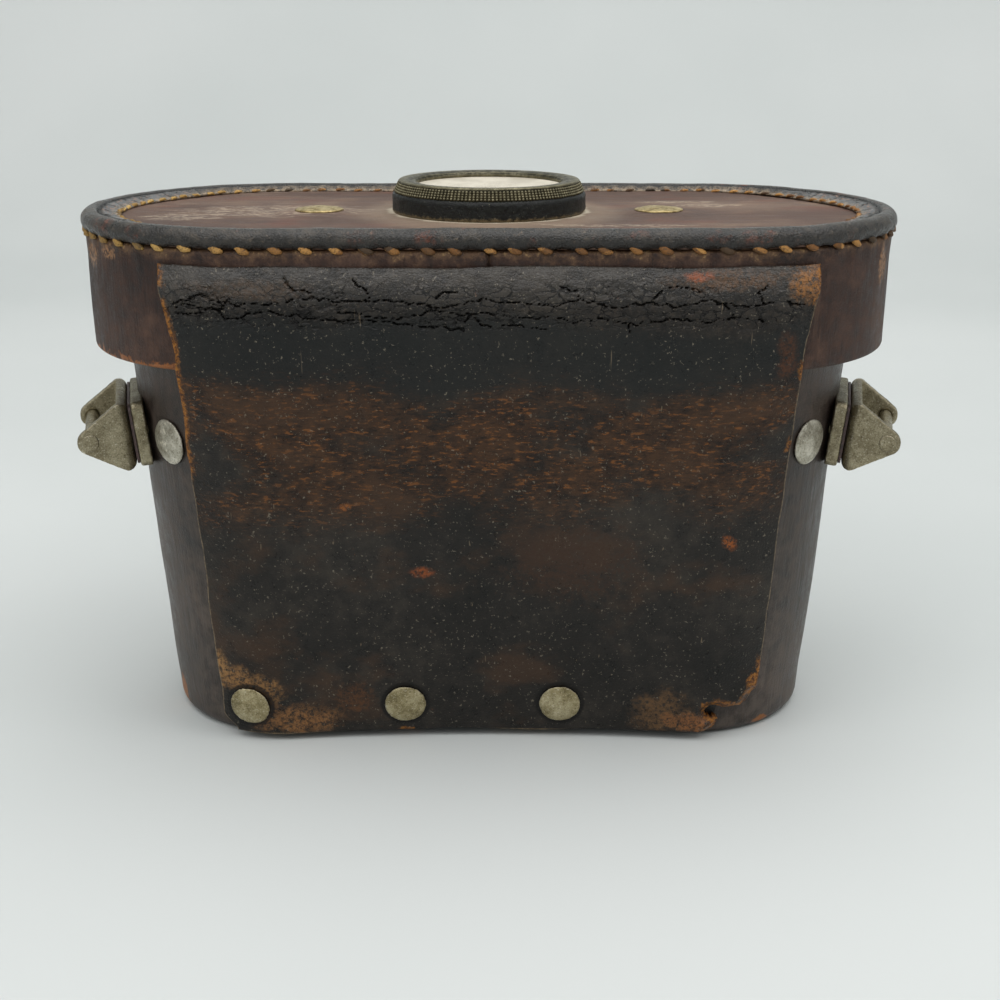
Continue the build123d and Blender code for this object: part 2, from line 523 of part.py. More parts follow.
def make_compass():
    """Painted case through the lid, knurled bezel, crystal, dial, pivot and needle."""
    case_top = LID_FACE + COMPASS_STAND
    barrel_low = LID_FACE - BARREL_DEPTH
    crystal_low = case_top
    crystal_high = crystal_low + CRYSTAL_THICKNESS
    dial_high = crystal_low - DIAL_DROP
    dial_low = dial_high - DIAL_THICKNESS
    case = disc(COMPASS_RADIUS, LID_FACE, case_top) + disc(BARREL_RADIUS, barrel_low, LID_FACE)
    case = chamfer(case.edges().group_by(Axis.Z)[0], BARREL_WALL / 3)
    case -= disc(DIAL_RADIUS + CRYSTAL_FIT, dial_low, case_top)
    case -= disc(DIAL_RADIUS - BARREL_WALL, barrel_low + BARREL_WALL, dial_low)
    keep("compass_case", case)

    step = BEZEL_HEIGHT / (BEZEL_ROWS + 1)
    taper = (BEZEL_FOOT_RADIUS - BEZEL_CROWN_RADIUS) / BEZEL_ROWS
    profile = [(LIP_RADIUS, crystal_high), (CRYSTAL_RADIUS + CRYSTAL_FIT, crystal_high)]
    profile += [(CRYSTAL_RADIUS + CRYSTAL_FIT, case_top), (BEZEL_FOOT_RADIUS, case_top)]
    for row in range(BEZEL_ROWS):
        radius = BEZEL_FOOT_RADIUS - taper * row
        height = case_top + step * row
        profile += [(radius, height + step * 0.7), (radius - BEZEL_GROOVE, height + step * 0.85)]
        profile += [(radius - taper, height + step)]
    crown = case_top + BEZEL_HEIGHT
    profile += [(BEZEL_CROWN_RADIUS - BEZEL_GROOVE, crown), (LIP_RADIUS + LIP_THICKNESS, crown)]
    keep("compass_bezel", revolve(Plane.XZ * make_face(Polyline(*profile, close=True)), Axis.Z))
    keep("compass_crystal", disc(CRYSTAL_RADIUS, crystal_low, crystal_high))
    keep("compass_dial", disc(DIAL_RADIUS, dial_low, dial_high))
    pivot = Pos(0, 0, dial_high + PIVOT_HEIGHT / 2) * Cylinder(PIVOT_RADIUS, PIVOT_HEIGHT)
    keep("compass_pivot", pivot)

    half = NEEDLE_LENGTH / 2
    side = NEEDLE_WIDTH / 2
    blade = make_face(Polyline((-half, 0), (0, -side), (half, 0), (0, side), close=True))
    needle_low = dial_high + PIVOT_HEIGHT - NEEDLE_CAP_HEIGHT + PIVOT_FIT * 4
    needle = Pos(0, 0, needle_low) * extrude(blade, NEEDLE_THICKNESS)
    needle += disc(NEEDLE_CAP, needle_low, needle_low + NEEDLE_CAP_HEIGHT)
    needle -= disc(PIVOT_RADIUS + PIVOT_FIT, needle_low, dial_high + PIVOT_HEIGHT + PIVOT_FIT)
    keep("compass_needle", needle)


def make_compass_mount():
    """Brass stay under the lid, the two rivets that hold it and the ring that locks the compass."""
    stay_high = LID_UNDER
    stay_low = stay_high - STAY_THICKNESS
    bore = disc(BARREL_RADIUS + BARREL_FIT, stay_low - LOCK_RING_THICKNESS, stay_high)
    bar = SlotOverall(2 * (LID_RIVET_X + STAY_END), STAY_WIDTH)
    stay = extrude(Pos(0, 0, stay_low) * bar, STAY_THICKNESS)
    stay += disc(BARREL_RADIUS + STAY_RING_WIDTH, stay_low, stay_high)
    stay -= bore
    places = [Pos(x, 0, LID_FACE) for x in (-LID_RIVET_X, LID_RIVET_X)]
    keep("compass_stay", drilled(stay, places, RIVET_SHANK))
    ring_low = stay_low - LOCK_RING_THICKNESS
    ring = disc(BARREL_RADIUS + LOCK_RING_WIDTH, ring_low, stay_low) - disc(BARREL_RADIUS, ring_low, stay_low)
    keep("compass_lock_ring", ring)
    one = rivet(LID_RIVET_HEAD, LID_RIVET_DOME, RIVET_SHANK, LID_FACE - stay_low, TAIL, TAIL_HEIGHT)
    keep("lid_rivets", group([place * one for place in places]))


# ---------------------------------------------------------------- front closure
def make_closing_tab():
    """Leather tab riveted to the front of the skirt; its free end hangs off the stud at rest."""
    inner = size_at(SKIRT_FORM, SKIRT_FOOT)[1] + LID_BULGE
    anchor_form = (
        (SKIRT_FOOT_HALF_LENGTH + TAB, SKIRT_FOOT_LOBE + TAB, -LID_BULGE),
        (SKIRT_HEAD_HALF_LENGTH + TAB, SKIRT_HEAD_LOBE + TAB, -LID_BULGE),
        SKIRT_FOOT, SKIRT_HEAD,
    )
    layer = tapered(anchor_form, 0, SKIRT_FOOT + CREASE_GAP / 2, SKIRT_FOOT + TAB_ANCHOR)
    layer -= tapered(SKIRT_FORM, 0, SKIRT_FOOT, SKIRT_HEAD)
    anchor = layer & (Pos(0, REACH / 2, REACH / 2) * Box(TAB_WIDTH, REACH, REACH))
    keep("closing_tab_anchor", drilled(anchor, TAB_RIVET_PLANES, RIVET_SHANK))
    grip = TAB + SKIRT + SEAT
    one = rivet(TAB_RIVET_HEAD, RIVET_DOME, RIVET_SHANK, grip, TAIL, TAIL_HEIGHT)
    keep("tab_rivets", group([place * one for place in TAB_RIVET_PLANES]))

    stud_y = STUD_WALL_PLANE.origin.Y + CLOSING_STUD_BASE_HEIGHT + SEAT
    low = SKIRT_FOOT - TAB_LENGTH
    crease = SKIRT_FOOT - CREASE_GAP / 2
    bend = CLOSING_STUD_HEIGHT + SLOT_LENGTH / 2
    side = Polyline((inner, crease), (stud_y, bend), (stud_y, low), (stud_y + TAB, low),
                    (stud_y + TAB, bend), (inner + TAB, crease), close=True)
    tab = extrude(Plane.YZ * make_face(side), TAB_WIDTH / 2, both=True)
    tip = tab.edges().filter_by(Axis.Y).group_by(Axis.Z)[0]
    tab = fillet(tip, TAB_WIDTH / 2 - SEAT)
    slot = Rot(90, 0, 0) * (Rot(0, 0, 90) * extrude(SlotOverall(SLOT_LENGTH, SLOT_WIDTH), TAB * 6, both=True))
    tab -= Pos(0, stud_y, CLOSING_STUD_HEIGHT + SLOT_RISE) * slot
    hinge = Pos(0, TAB_HINGE_Y, SKIRT_FOOT)
    keep("closing_tab", hinge * Rot(TAB_LIFT, 0, 0) * hinge.inverse() * tab)

    base = Pos(0, 0, CLOSING_STUD_BASE_HEIGHT / 2) * Cylinder(CLOSING_STUD_BASE, CLOSING_STUD_BASE_HEIGHT)
    neck = Pos(0, 0, CLOSING_STUD_REACH / 2) * Cylinder(CLOSING_STUD_NECK, CLOSING_STUD_REACH)
    ball = Pos(0, 0, CLOSING_STUD_REACH) * Sphere(CLOSING_STUD_BALL)
    depth = WALL + LINING + SEAT
    shank = Pos(0, 0, -(depth + BURR_THICKNESS) / 2) * Cylinder(RIVET_SHANK, depth + BURR_THICKNESS)
    tail = Pos(0, 0, -depth - BURR_THICKNESS - TAIL_HEIGHT / 2) * Cylinder(TAIL, TAIL_HEIGHT)
    keep("closing_stud", STUD_WALL_PLANE * (base + neck + ball + shank + tail))
    washer = burr(BURR, RIVET_SHANK, BURR_THICKNESS, depth + BURR_THICKNESS)
    keep("closing_stud_burr", STUD_WALL_PLANE * washer)


make_body()
make_hinge_panel()
make_end_bands()
make_strap_plates()
make_clevises()
make_lid()
make_compass()
make_compass_mount()
make_closing_tab()

os.makedirs("parts", exist_ok=True)
for name, shape in PARTS.items():
    export_step(shape, f"parts/{name}.step")
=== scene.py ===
"""Looks of a moulded leather case for a binocular, with a compass in its hinged lid.

Metres, +Z up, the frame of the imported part. The leather hinge panel is at the back, -Y, which the camera
faces. Sizes and the mesh code are in millimetres, and finish_mesh turns a finished bmesh into metres.
"""
import json
import math
import random

import bmesh
import bpy
from mathutils import Matrix, Vector, noise
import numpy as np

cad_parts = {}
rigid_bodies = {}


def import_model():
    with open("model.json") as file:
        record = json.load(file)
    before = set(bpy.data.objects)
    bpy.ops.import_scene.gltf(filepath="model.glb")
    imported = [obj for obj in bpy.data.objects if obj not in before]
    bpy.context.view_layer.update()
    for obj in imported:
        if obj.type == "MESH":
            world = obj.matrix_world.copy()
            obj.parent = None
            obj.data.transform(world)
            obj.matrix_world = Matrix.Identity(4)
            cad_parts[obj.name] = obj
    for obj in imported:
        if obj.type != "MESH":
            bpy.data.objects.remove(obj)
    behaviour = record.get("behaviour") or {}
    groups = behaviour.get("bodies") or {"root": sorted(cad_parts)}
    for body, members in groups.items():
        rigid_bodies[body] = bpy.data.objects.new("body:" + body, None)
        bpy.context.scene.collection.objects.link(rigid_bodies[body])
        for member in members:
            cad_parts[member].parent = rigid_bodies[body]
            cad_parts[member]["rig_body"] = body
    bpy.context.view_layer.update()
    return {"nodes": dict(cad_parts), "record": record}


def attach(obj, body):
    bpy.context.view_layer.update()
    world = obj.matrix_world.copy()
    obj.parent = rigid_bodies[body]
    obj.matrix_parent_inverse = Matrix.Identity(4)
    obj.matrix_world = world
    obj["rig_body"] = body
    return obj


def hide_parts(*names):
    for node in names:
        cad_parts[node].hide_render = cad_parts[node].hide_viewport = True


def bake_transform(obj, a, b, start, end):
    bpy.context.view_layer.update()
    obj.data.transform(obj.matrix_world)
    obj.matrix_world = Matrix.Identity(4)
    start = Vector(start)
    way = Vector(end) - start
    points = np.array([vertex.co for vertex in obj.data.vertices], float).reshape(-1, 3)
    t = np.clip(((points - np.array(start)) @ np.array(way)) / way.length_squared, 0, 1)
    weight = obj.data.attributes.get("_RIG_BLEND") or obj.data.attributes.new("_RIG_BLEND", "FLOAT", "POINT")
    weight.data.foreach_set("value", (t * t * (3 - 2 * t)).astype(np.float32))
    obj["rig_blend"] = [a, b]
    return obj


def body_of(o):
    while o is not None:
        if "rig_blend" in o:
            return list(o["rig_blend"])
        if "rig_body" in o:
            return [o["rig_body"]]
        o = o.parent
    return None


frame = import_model()
nodes = frame["nodes"]
MM = 0.001

# ---------------------------------------------------------------- sizes, in millimetres
# A plan outline is (half length, half depth over a lobe, how far the waist is drawn in).
BASE_PLAN = (82.0, 31.0, 2.7)
MOUTH_PLAN = (90.0, 40.3, 0.4)
CASE_HEIGHT = 110.0
SKIRT_FOOT, SKIRT_HEAD = 96.0, 124.0
SKIRT_FOOT_PLAN = (97.2, 45.0, -0.4)
SKIRT_HEAD_PLAN = (97.5, 46.0, -0.4)
WALL = 3.2                  # leather of the body
BASE_ROUND = 3.0
SKIRT = 3.0                 # leather of the skirt
FELT = 1.5
PAD = 1.9
BASE_THICKNESS = 3.6
COLLAR = 2.0
COLLAR_FOOT, COLLAR_HEAD = 95.0, 122.1
LID_FACE = 126.7            # upper face of the lid leather
LID_UNDER = 122.5           # under the felt of the lid
LID_RIVET_X = 41.5
PANEL = 3.0
PANEL_LOW, PANEL_HIGH = 4.6, 120.8
PANEL_HEM = 1.8             # the worn lower edge has stretched to here
PANEL_LOW_HALF, PANEL_HIGH_HALF = 66.2, 70.8
PANEL_SHOULDER = 112.0      # where the panel starts to turn in under the rim
PANEL_RIVETS = ((-58.9, 10.0), (-20.7, 10.0), (17.5, 10.0))
EMPTY_HOLE = (54.8, 8.0)    # of the lost fourth rivet, stretched down and inwards by the tear
HINGE_Y = -48.4
BARREL = 21.1               # radius of the lid's bore for the compass
COMPASS = 23.5              # radius of the painted case
COMPASS_TOP = 131.4
BEZEL_FOOT, BEZEL_CROWN, BEZEL_TOP = 23.2, 22.2, 134.3
LIP, CRYSTAL, CRYSTAL_TOP = 17.7, 18.4, 132.9
BAND_MIDDLE, BAND_HEIGHT, BAND_INNER_X = 76.0, 18.8, 69.6

BODY_FORM = (BASE_PLAN, MOUTH_PLAN, 0.0, CASE_HEIGHT)
SKIRT_FORM = (SKIRT_FOOT_PLAN, SKIRT_HEAD_PLAN, SKIRT_FOOT, SKIRT_HEAD)
RIM_FORM = (SKIRT_HEAD_PLAN, SKIRT_HEAD_PLAN, 0.0, 1.0)
END_STEPS, SIDE_STEPS = 110, 170        # mesh steps round each end and along each side
QUARTERS = (END_STEPS, SIDE_STEPS, END_STEPS, SIDE_STEPS)


# ---------------------------------------------------------------- plan outlines
def plan_at(form, height):
    """Plan outline of a tapered form at one height."""
    foot, head, low, high = form
    share = (height - low) / (high - low)
    return tuple(a + (b - a) * share for a, b in zip(foot, head))


def arcs(plan, inset=0.0):
    """Centre and radius of the end arcs, waist, bow of the side arcs, and the point where they meet."""
    half_length, lobe, hollow = plan[0] - inset, plan[1] - inset, plan[2]
    centre = half_length - lobe
    waist = lobe - hollow
    bow = (waist ** 2 + centre ** 2 - lobe ** 2) / (2 * hollow)
    return centre, lobe, waist, bow, centre * bow / (lobe + bow), lobe * (waist + bow) / (lobe + bow)


def oval_point(plan, inset, turn):
    """Point on a plan outline; turn runs 0 to 4: the right end, the front, the left end, the back."""
    centre, lobe, waist, bow, x, y = arcs(plan, inset)
    quarter, share = int(turn) % 4, turn % 1
    sign = 1 if quarter < 2 else -1
    if quarter % 2 == 0:
        angle = math.atan2(y, x - centre) * (2 * share - 1)
        return sign * Vector((centre + lobe * math.cos(angle), lobe * math.sin(angle), 0))
    along = x * (1 - 2 * share)
    across = waist + bow - math.copysign(math.sqrt(bow ** 2 - along ** 2), bow)
    return sign * Vector((along, across, 0))


def wall_y(form, x, height):
    """Depth of a tapered form's wall at x, measured from the middle plane."""
    centre, lobe, waist, bow, join, _ = arcs(plan_at(form, height))
    if abs(x) > join:
        return math.sqrt(max(lobe ** 2 - (abs(x) - centre) ** 2, 0))
    return waist + bow - math.copysign(math.sqrt(bow ** 2 - x ** 2), bow)


def quarter_lengths(plan, inset=0.0):
    """Length of an end arc and of a side."""
    centre, lobe, _, _, x, y = arcs(plan, inset)
    return 2 * math.atan2(y, x - centre) * lobe, 2 * x


def turn_at(plan, distance):
    """Turn of the outline at a distance round it."""
    end, side = quarter_lengths(plan)
    for quarter, length in enumerate((end, side, end, side)):
        if distance < length:
            return quarter + distance / length
        distance -= length
    return 0.0


def distance_at(plan, turn):
    """Distance round the outline at a turn."""
    end, side = quarter_lengths(plan)
    lengths = (end, side, end, side)
    quarter = int(turn) % 4
    return sum(lengths[:quarter]) + lengths[quarter] * (turn % 1)


# ---------------------------------------------------------------- small maths
def swell(point, size, seed=0.0):
    """Smooth noise from -1 to 1 with features of size millimetres."""
    return noise.noise(Vector(point) / size + Vector((seed, seed * 1.7, seed * 0.3)))


def steps(start, stop, count):
    """Evenly spaced values from start to stop, both included."""
    return [start + (stop - start) * i / count for i in range(count + 1)]


def ease(low, high, value):
    """0 at low, 1 at high and an even S between; low may be the larger."""
    share = min(max((value - low) / (high - low), 0), 1)
    return share * share * (3 - 2 * share)


# ---------------------------------------------------------------- mesh helpers
def finish_mesh(bm, name, material, body=None, stands_for=()):
    """Smooth piece from a bmesh in millimetres; it rides on a body and takes its finish from a slot."""
    bmesh.ops.scale(bm, vec=(MM, MM, MM), verts=bm.verts)
    mesh = bpy.data.meshes.new(name)
    bm.to_mesh(mesh)
    bm.free()
    mesh.materials.append(material)
    mesh.polygons.foreach_set("use_smooth", [True] * len(mesh.polygons))
    piece = bpy.data.objects.new(name, mesh)
    bpy.context.scene.collection.objects.link(piece)
    if body:
        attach(piece, body)
    if stands_for:
        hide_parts(*stands_for)
    return piece


def ring_wall(rings, closed=True):
    """Wall round the case: (form, inset, height) rings, each extruded from the one before; turn is kept."""
    bm = bmesh.new()
    turn = bm.verts.layers.float.new("turn")
    bmesh.ops.create_circle(bm, segments=sum(QUARTERS), radius=1)
    bm.verts.ensure_lookup_table()
    turns = [quarter + i / count for quarter, count in enumerate(QUARTERS) for i in range(count)]
    for vert, value in zip(bm.verts, turns):
        vert[turn] = value
    edges = list(bm.edges)
    for count, (form, inset, height) in enumerate(rings + rings[:1] if closed else rings):
        if count:
            made = bmesh.ops.extrude_edge_only(bm, edges=edges)["geom"]
            edges = [item for item in made if isinstance(item, bmesh.types.BMEdge)]
        for vert in {vert for edge in edges for vert in edge.verts}:
            reach = inset(vert[turn]) if callable(inset) else inset
            vert.co = oval_point(plan_at(form, height), reach, vert[turn])
            vert.co.z = height
    if closed:
        bmesh.ops.remove_doubles(bm, verts=bm.verts, dist=0.001)
    bmesh.ops.recalc_face_normals(bm, faces=bm.faces)
    return bm


def emboss(bm, depth):
    """Move every vertex along its normal by depth(point, turn), in millimetres."""
    bm.normal_update()
    turn = bm.verts.layers.float.get("turn")
    moves = [vert.normal * depth(vert.co, vert[turn] if turn else 0) for vert in bm.verts]
    for vert, move in zip(bm.verts, moves):
        vert.co += move


def turned(profile, count=96):
    """Solid of revolution about Z from (radius, height) points that close on themselves."""
    bm = bmesh.new()
    verts = [bm.verts.new((radius, 0, height)) for radius, height in profile]
    edges = [bm.edges.new((a, b)) for a, b in zip(verts, verts[1:] + verts[:1])]
    bmesh.ops.spin(bm, geom=verts + edges, axis=(0, 0, 1), cent=(0, 0, 0), angle=math.tau, steps=count,
                   use_merge=True)
    bmesh.ops.remove_doubles(bm, verts=bm.verts, dist=0.001)
    bmesh.ops.recalc_face_normals(bm, faces=bm.faces)
    return bm


def worn_copy(node, name, material, voxel, relief, rounding=2):
    """Piece that stands for a machined CAD node: the same shape with worn edges and a cast-like surface.

    voxel is the size of its mesh in millimetres, relief(point) lifts its surface, and rounding counts the
    rounds of smoothing that wear its edges.
    """
    source = nodes[node]
    copy = bpy.data.objects.new(name, source.data.copy())
    bpy.context.scene.collection.objects.link(copy)
    bm = bmesh.new()
    bm.from_mesh(copy.data)
    bmesh.ops.remove_doubles(bm, verts=bm.verts, dist=0.00002)
    bm.to_mesh(copy.data)
    bm.free()
    remesh = copy.modifiers.new("remesh", "REMESH")
    remesh.mode = "VOXEL"
    remesh.voxel_size = voxel * MM
    smoothing = copy.modifiers.new("wear", "SMOOTH")
    smoothing.iterations = rounding
    smoothing.factor = 0.5
    shown = bpy.context.evaluated_depsgraph_get()
    mesh = bpy.data.meshes.new_from_object(copy.evaluated_get(shown))
    bpy.data.objects.remove(copy)
    bm = bmesh.new()
    bm.from_mesh(mesh)
    bpy.data.meshes.remove(mesh)
    bmesh.ops.scale(bm, vec=(1 / MM, 1 / MM, 1 / MM), verts=bm.verts)
    emboss(bm, lambda point, _: relief(point))
    return finish_mesh(bm, name, material, body_of(source)[0], (node,))


# ---------------------------------------------------------------- material helpers
def linear(hex_colour):
    """sRGB hex value to the linear colour that shaders take."""
    parts = [int(hex_colour[i:i + 2], 16) / 255 for i in (1, 3, 5)]
    return tuple(c / 12.92 if c < 0.04045 else ((c + 0.055) / 1.055) ** 2.4 for c in parts) + (1.0,)


def per(size):
    """Scale of a pattern whose features are size millimetres."""
    return 1 / (size * MM)


def add(tree, kind, links=(), stops=(), **settings):
    """Add one node: its settings, its colour stops, and its sockets' values or what they link to."""
    made = tree.nodes.new("ShaderNode" + kind)
    for name, value in settings.items():
        setattr(made, name, value)
    for count, (place, tone) in enumerate(stops):
        ends = made.color_ramp.elements
        stop = ends[count] if count < 2 else ends.new(place)
        stop.position = place
        stop.color = linear(tone)
    usable = [socket for socket in made.inputs if socket.enabled]
    pairs = links.items() if isinstance(links, dict) else enumerate(links)
    for key, value in pairs:
        socket = usable[key] if isinstance(key, int) else next(s for s in usable if s.name == key)
        if isinstance(value, bpy.types.Node):
            value = next(output for output in value.outputs if output.enabled)
        if isinstance(value, bpy.types.NodeSocket):
            tree.links.new(value, socket)
        else:
            socket.default_value = linear(value) if isinstance(value, str) else value
    return made


def new_material(name, **uniform):
    """Empty material with its shader; uniform holds the shader values that are the same all over."""
    material = bpy.data.materials.new(name)
    material.use_nodes = True
    tree = material.node_tree
    tree.nodes.clear()
    shader = add(tree, "BsdfPrincipled")
    add(tree, "OutputMaterial", {"Surface": shader})
    for key, value in uniform.items():
        socket = shader.inputs[key.replace("_", " ")]
        socket.default_value = linear(value) if isinstance(value, str) else value
    return material, tree, shader


def layer(tree, under, over, pattern, low, high, amount=1.0, within=1.0):
    """Colour over laid on colour under as pattern goes from low to high, up to amount, where within is on."""
    shown = add(tree, "MapRange", (pattern, low, high, 0.0, amount), interpolation_type="SMOOTHSTEP")
    held = add(tree, "Math", (shown, within), operation="MULTIPLY")
    return add(tree, "Mix", {"Factor": held, "A": under, "B": over}, data_type="RGBA")


def between(tree, value, start, full, leave, gone):
    """Mask that comes on from start to full and goes off again from leave to gone."""
    on = add(tree, "MapRange", (value, start, full), interpolation_type="SMOOTHSTEP")
    off = add(tree, "MapRange", (value, leave, gone, 1.0, 0.0), interpolation_type="SMOOTHSTEP")
    return add(tree, "Math", (on, off), operation="MULTIPLY")


def fractal(tree, place, size, detail=4.0, rough=0.6, stretch=(1, 1, 1), seed=0.0):
    """Fractal noise with features of size millimetres, drawn out along each axis by stretch."""
    moved = add(tree, "Mapping", {"Vector": place, "Location": (seed, seed * 0.7, seed * 1.3),
                                  "Scale": tuple(1 / s for s in stretch)})
    return add(tree, "TexNoise", {"Vector": moved, "Scale": per(size), "Detail": detail, "Roughness": rough})


def spot(tree, place, centre, reach, ragged, tilt=0.0, soft=0.12):
    """Mask of one worn spot: an ellipse of reach millimetres about centre, its edge broken up by a noise."""
    moved = add(tree, "Mapping", {
        "Vector": place, "Location": tuple(c * MM for c in centre), "Rotation": (0, math.radians(tilt), 0),
        "Scale": tuple(r * MM for r in reach)}, vector_type="TEXTURE")
    ball = add(tree, "TexGradient", {"Vector": moved}, gradient_type="SPHERICAL")
    broken = add(tree, "Math", (ragged, 1.6, ball), operation="MULTIPLY_ADD")
    within = add(tree, "MapRange", (ball, 0.0, 0.25))
    edge = 1.2
    return add(tree, "MapRange", (broken, edge - soft, edge + soft, 0.0, within),
               interpolation_type="SMOOTHSTEP")


def surface(tree, shader, colour, gloss, bumps):
    """Link the colour, a roughness as (pattern, smoothest, roughest), and bumps as (height, mm)."""
    pattern, smoothest, roughest = gloss
    roughness = add(tree, "MapRange", (pattern, 0.3, 0.7, smoothest, roughest),
                    interpolation_type="SMOOTHSTEP")
    tree.links.new(next(o for o in colour.outputs if o.enabled), shader.inputs["Base Color"])
    tree.links.new(roughness.outputs[0], shader.inputs["Roughness"])
    normal = None
    for height, depth in bumps:
        links = {"Height": height, "Distance": depth * MM}
        if normal:
            links["Normal"] = normal
        normal = add(tree, "Bump", links)
    tree.links.new(normal.outputs[0], shader.inputs["Normal"])


def hide(tree, place, tones, grain=0.8, blotch=28.0, seed=0.0, stretch=(1, 1, 1)):
    """What all leathers here share: a blotched colour, its mottling, and the height of pores and grain."""
    cloudy = fractal(tree, place, blotch, 5, 0.62, stretch, seed)
    mottled = fractal(tree, place, blotch / 7, 6, 0.7, stretch, seed + 3)
    mixed = add(tree, "Mix", {"Factor": 0.5, "A": cloudy, "B": mottled}, data_type="FLOAT")
    dark, middle, light = tones
    colour = add(tree, "ValToRGB", (mixed,), stops=((0.36, dark), (0.64, light), (0.5, middle)))
    cells = add(tree, "TexVoronoi", {"Vector": place, "Scale": per(grain)}, feature="DISTANCE_TO_EDGE")
    fine = fractal(tree, place, grain * 0.5, 3, 0.6, seed=seed + 7)
    pores = add(tree, "MapRange", (cells, 0.0, 0.25, 0.0, 0.5), interpolation_type="SMOOTHSTEP")
    height = add(tree, "Math", (fine, 0.5, pores), operation="MULTIPLY_ADD")
    return colour, mottled, height


# ---------------------------------------------------------------- leathers
# The heights and distances that a mask goes by are in metres, as Object coordinates are.
def case_cowhide():
    """Vegetable-tanned cowhide, dyed and burnished: near black, grey brown where rubbed, and orange where
    worn through. Painted shade darkens the hollows of its creases and the wall behind the empty rivet hole."""
    material, tree, shader = new_material("burnished_cowhide", Specular_IOR_Level=0.36)
    place = add(tree, "TexCoord").outputs["Object"]
    colour, mottled, height = hide(tree, place, ("#221e1c", "#3a302a", "#564840"))
    low = add(tree, "MapRange", (add(tree, "SeparateXYZ", (place,)).outputs["Z"], 0.1, 0.03))
    colour = layer(tree, colour, "#5b544c", mottled, 0.38, 0.62, 0.4, low)
    creases = fractal(tree, place, 1.6, 5, 0.65, (1, 1, 16), 11)
    colour = layer(tree, colour, "#5d4532", creases, 0.56, 0.74, 0.2)
    # Painted shade: the hollows of the creases are darkened.
    colour = layer(tree, colour, "#15120f", creases, 0.44, 0.3, 0.4)
    for centre, reach in (((-80.5, -13, 4), (5, 7, 7)), ((69, -27, 1.5), (5, 7, 2.4))):
        colour = layer(tree, colour, "#8f5826", spot(tree, place, centre, reach, mottled), 0, 1)
    # Painted shadow: the wall seen through the panel's empty rivet hole is laid near black for the shade in
    # the hole.
    behind = (EMPTY_HOLE[0], -wall_y(BODY_FORM, *EMPTY_HOLE), EMPTY_HOLE[1])
    colour = layer(tree, colour, "#050403", spot(tree, place, behind, (3.4, 9, 3.4), mottled), 0, 1)
    surface(tree, shader, colour, (mottled, 0.3, 0.55), [
        (fractal(tree, place, 9, 3, 0.5, (1, 1, 2), 5), 0.5), (creases, 0.25), (height, 0.06)])
    return material


def skirt_cowhide():
    """The same hide on the lid, drier: brown, creased upright with painted shade in the creases' hollows,
    dusty high up, orange along its cut edge.
    """
    material, tree, shader = new_material("creased_cowhide", Specular_IOR_Level=0.32)
    place = add(tree, "TexCoord").outputs["Object"]
    colour, mottled, height = hide(tree, place, ("#1d1411", "#39261e", "#574034"), blotch=22, seed=2)
    split = add(tree, "SeparateXYZ", (place,))
    creases = fractal(tree, place, 2.2, 6, 0.68, (1, 1, 12), 4)
    # Painted shade: the hollows of the upright creases are darkened.
    colour = layer(tree, colour, "#120f0e", creases, 0.42, 0.28, 0.8)
    colour = layer(tree, colour, "#6b5140", creases, 0.56, 0.74, 0.35)
    ragged = add(tree, "Math", (mottled, 0.012, split.outputs["Z"]), operation="MULTIPLY_ADD")
    colour = layer(tree, colour, "#6b513a", ragged, 0.1268, 0.1305, 0.75)
    fleck = fractal(tree, place, 0.8, 3, 0.7, seed=8)
    torn = add(tree, "MapRange", (ragged, 0.1285, 0.1305))
    colour = layer(tree, colour, "#a08259", fleck, 0.5, 0.66, 0.9, torn)
    left = add(tree, "MapRange", (split.outputs["X"], -0.056, -0.074))
    colour = layer(tree, colour, "#955a2a", ragged, 0.1032, 0.102, 0.9, left)
    scuffs = (((-93, -22, 119.5), (6, 9, 5)), ((92, -24, 117), (4, 6, 7)), ((-88, -31, 121), (6, 6, 3)))
    for centre, reach in scuffs:
        scuffed = spot(tree, place, centre, reach, creases)
        colour = layer(tree, colour, "#9a724e", fleck, 0.4, 0.6, 0.9, scuffed)
    surface(tree, shader, colour, (mottled, 0.4, 0.66), [
        (fractal(tree, place, 7, 3, 0.5, (1, 1, 2), 5), 0.5), (creases, 0.45), (height, 0.08)])
    return material


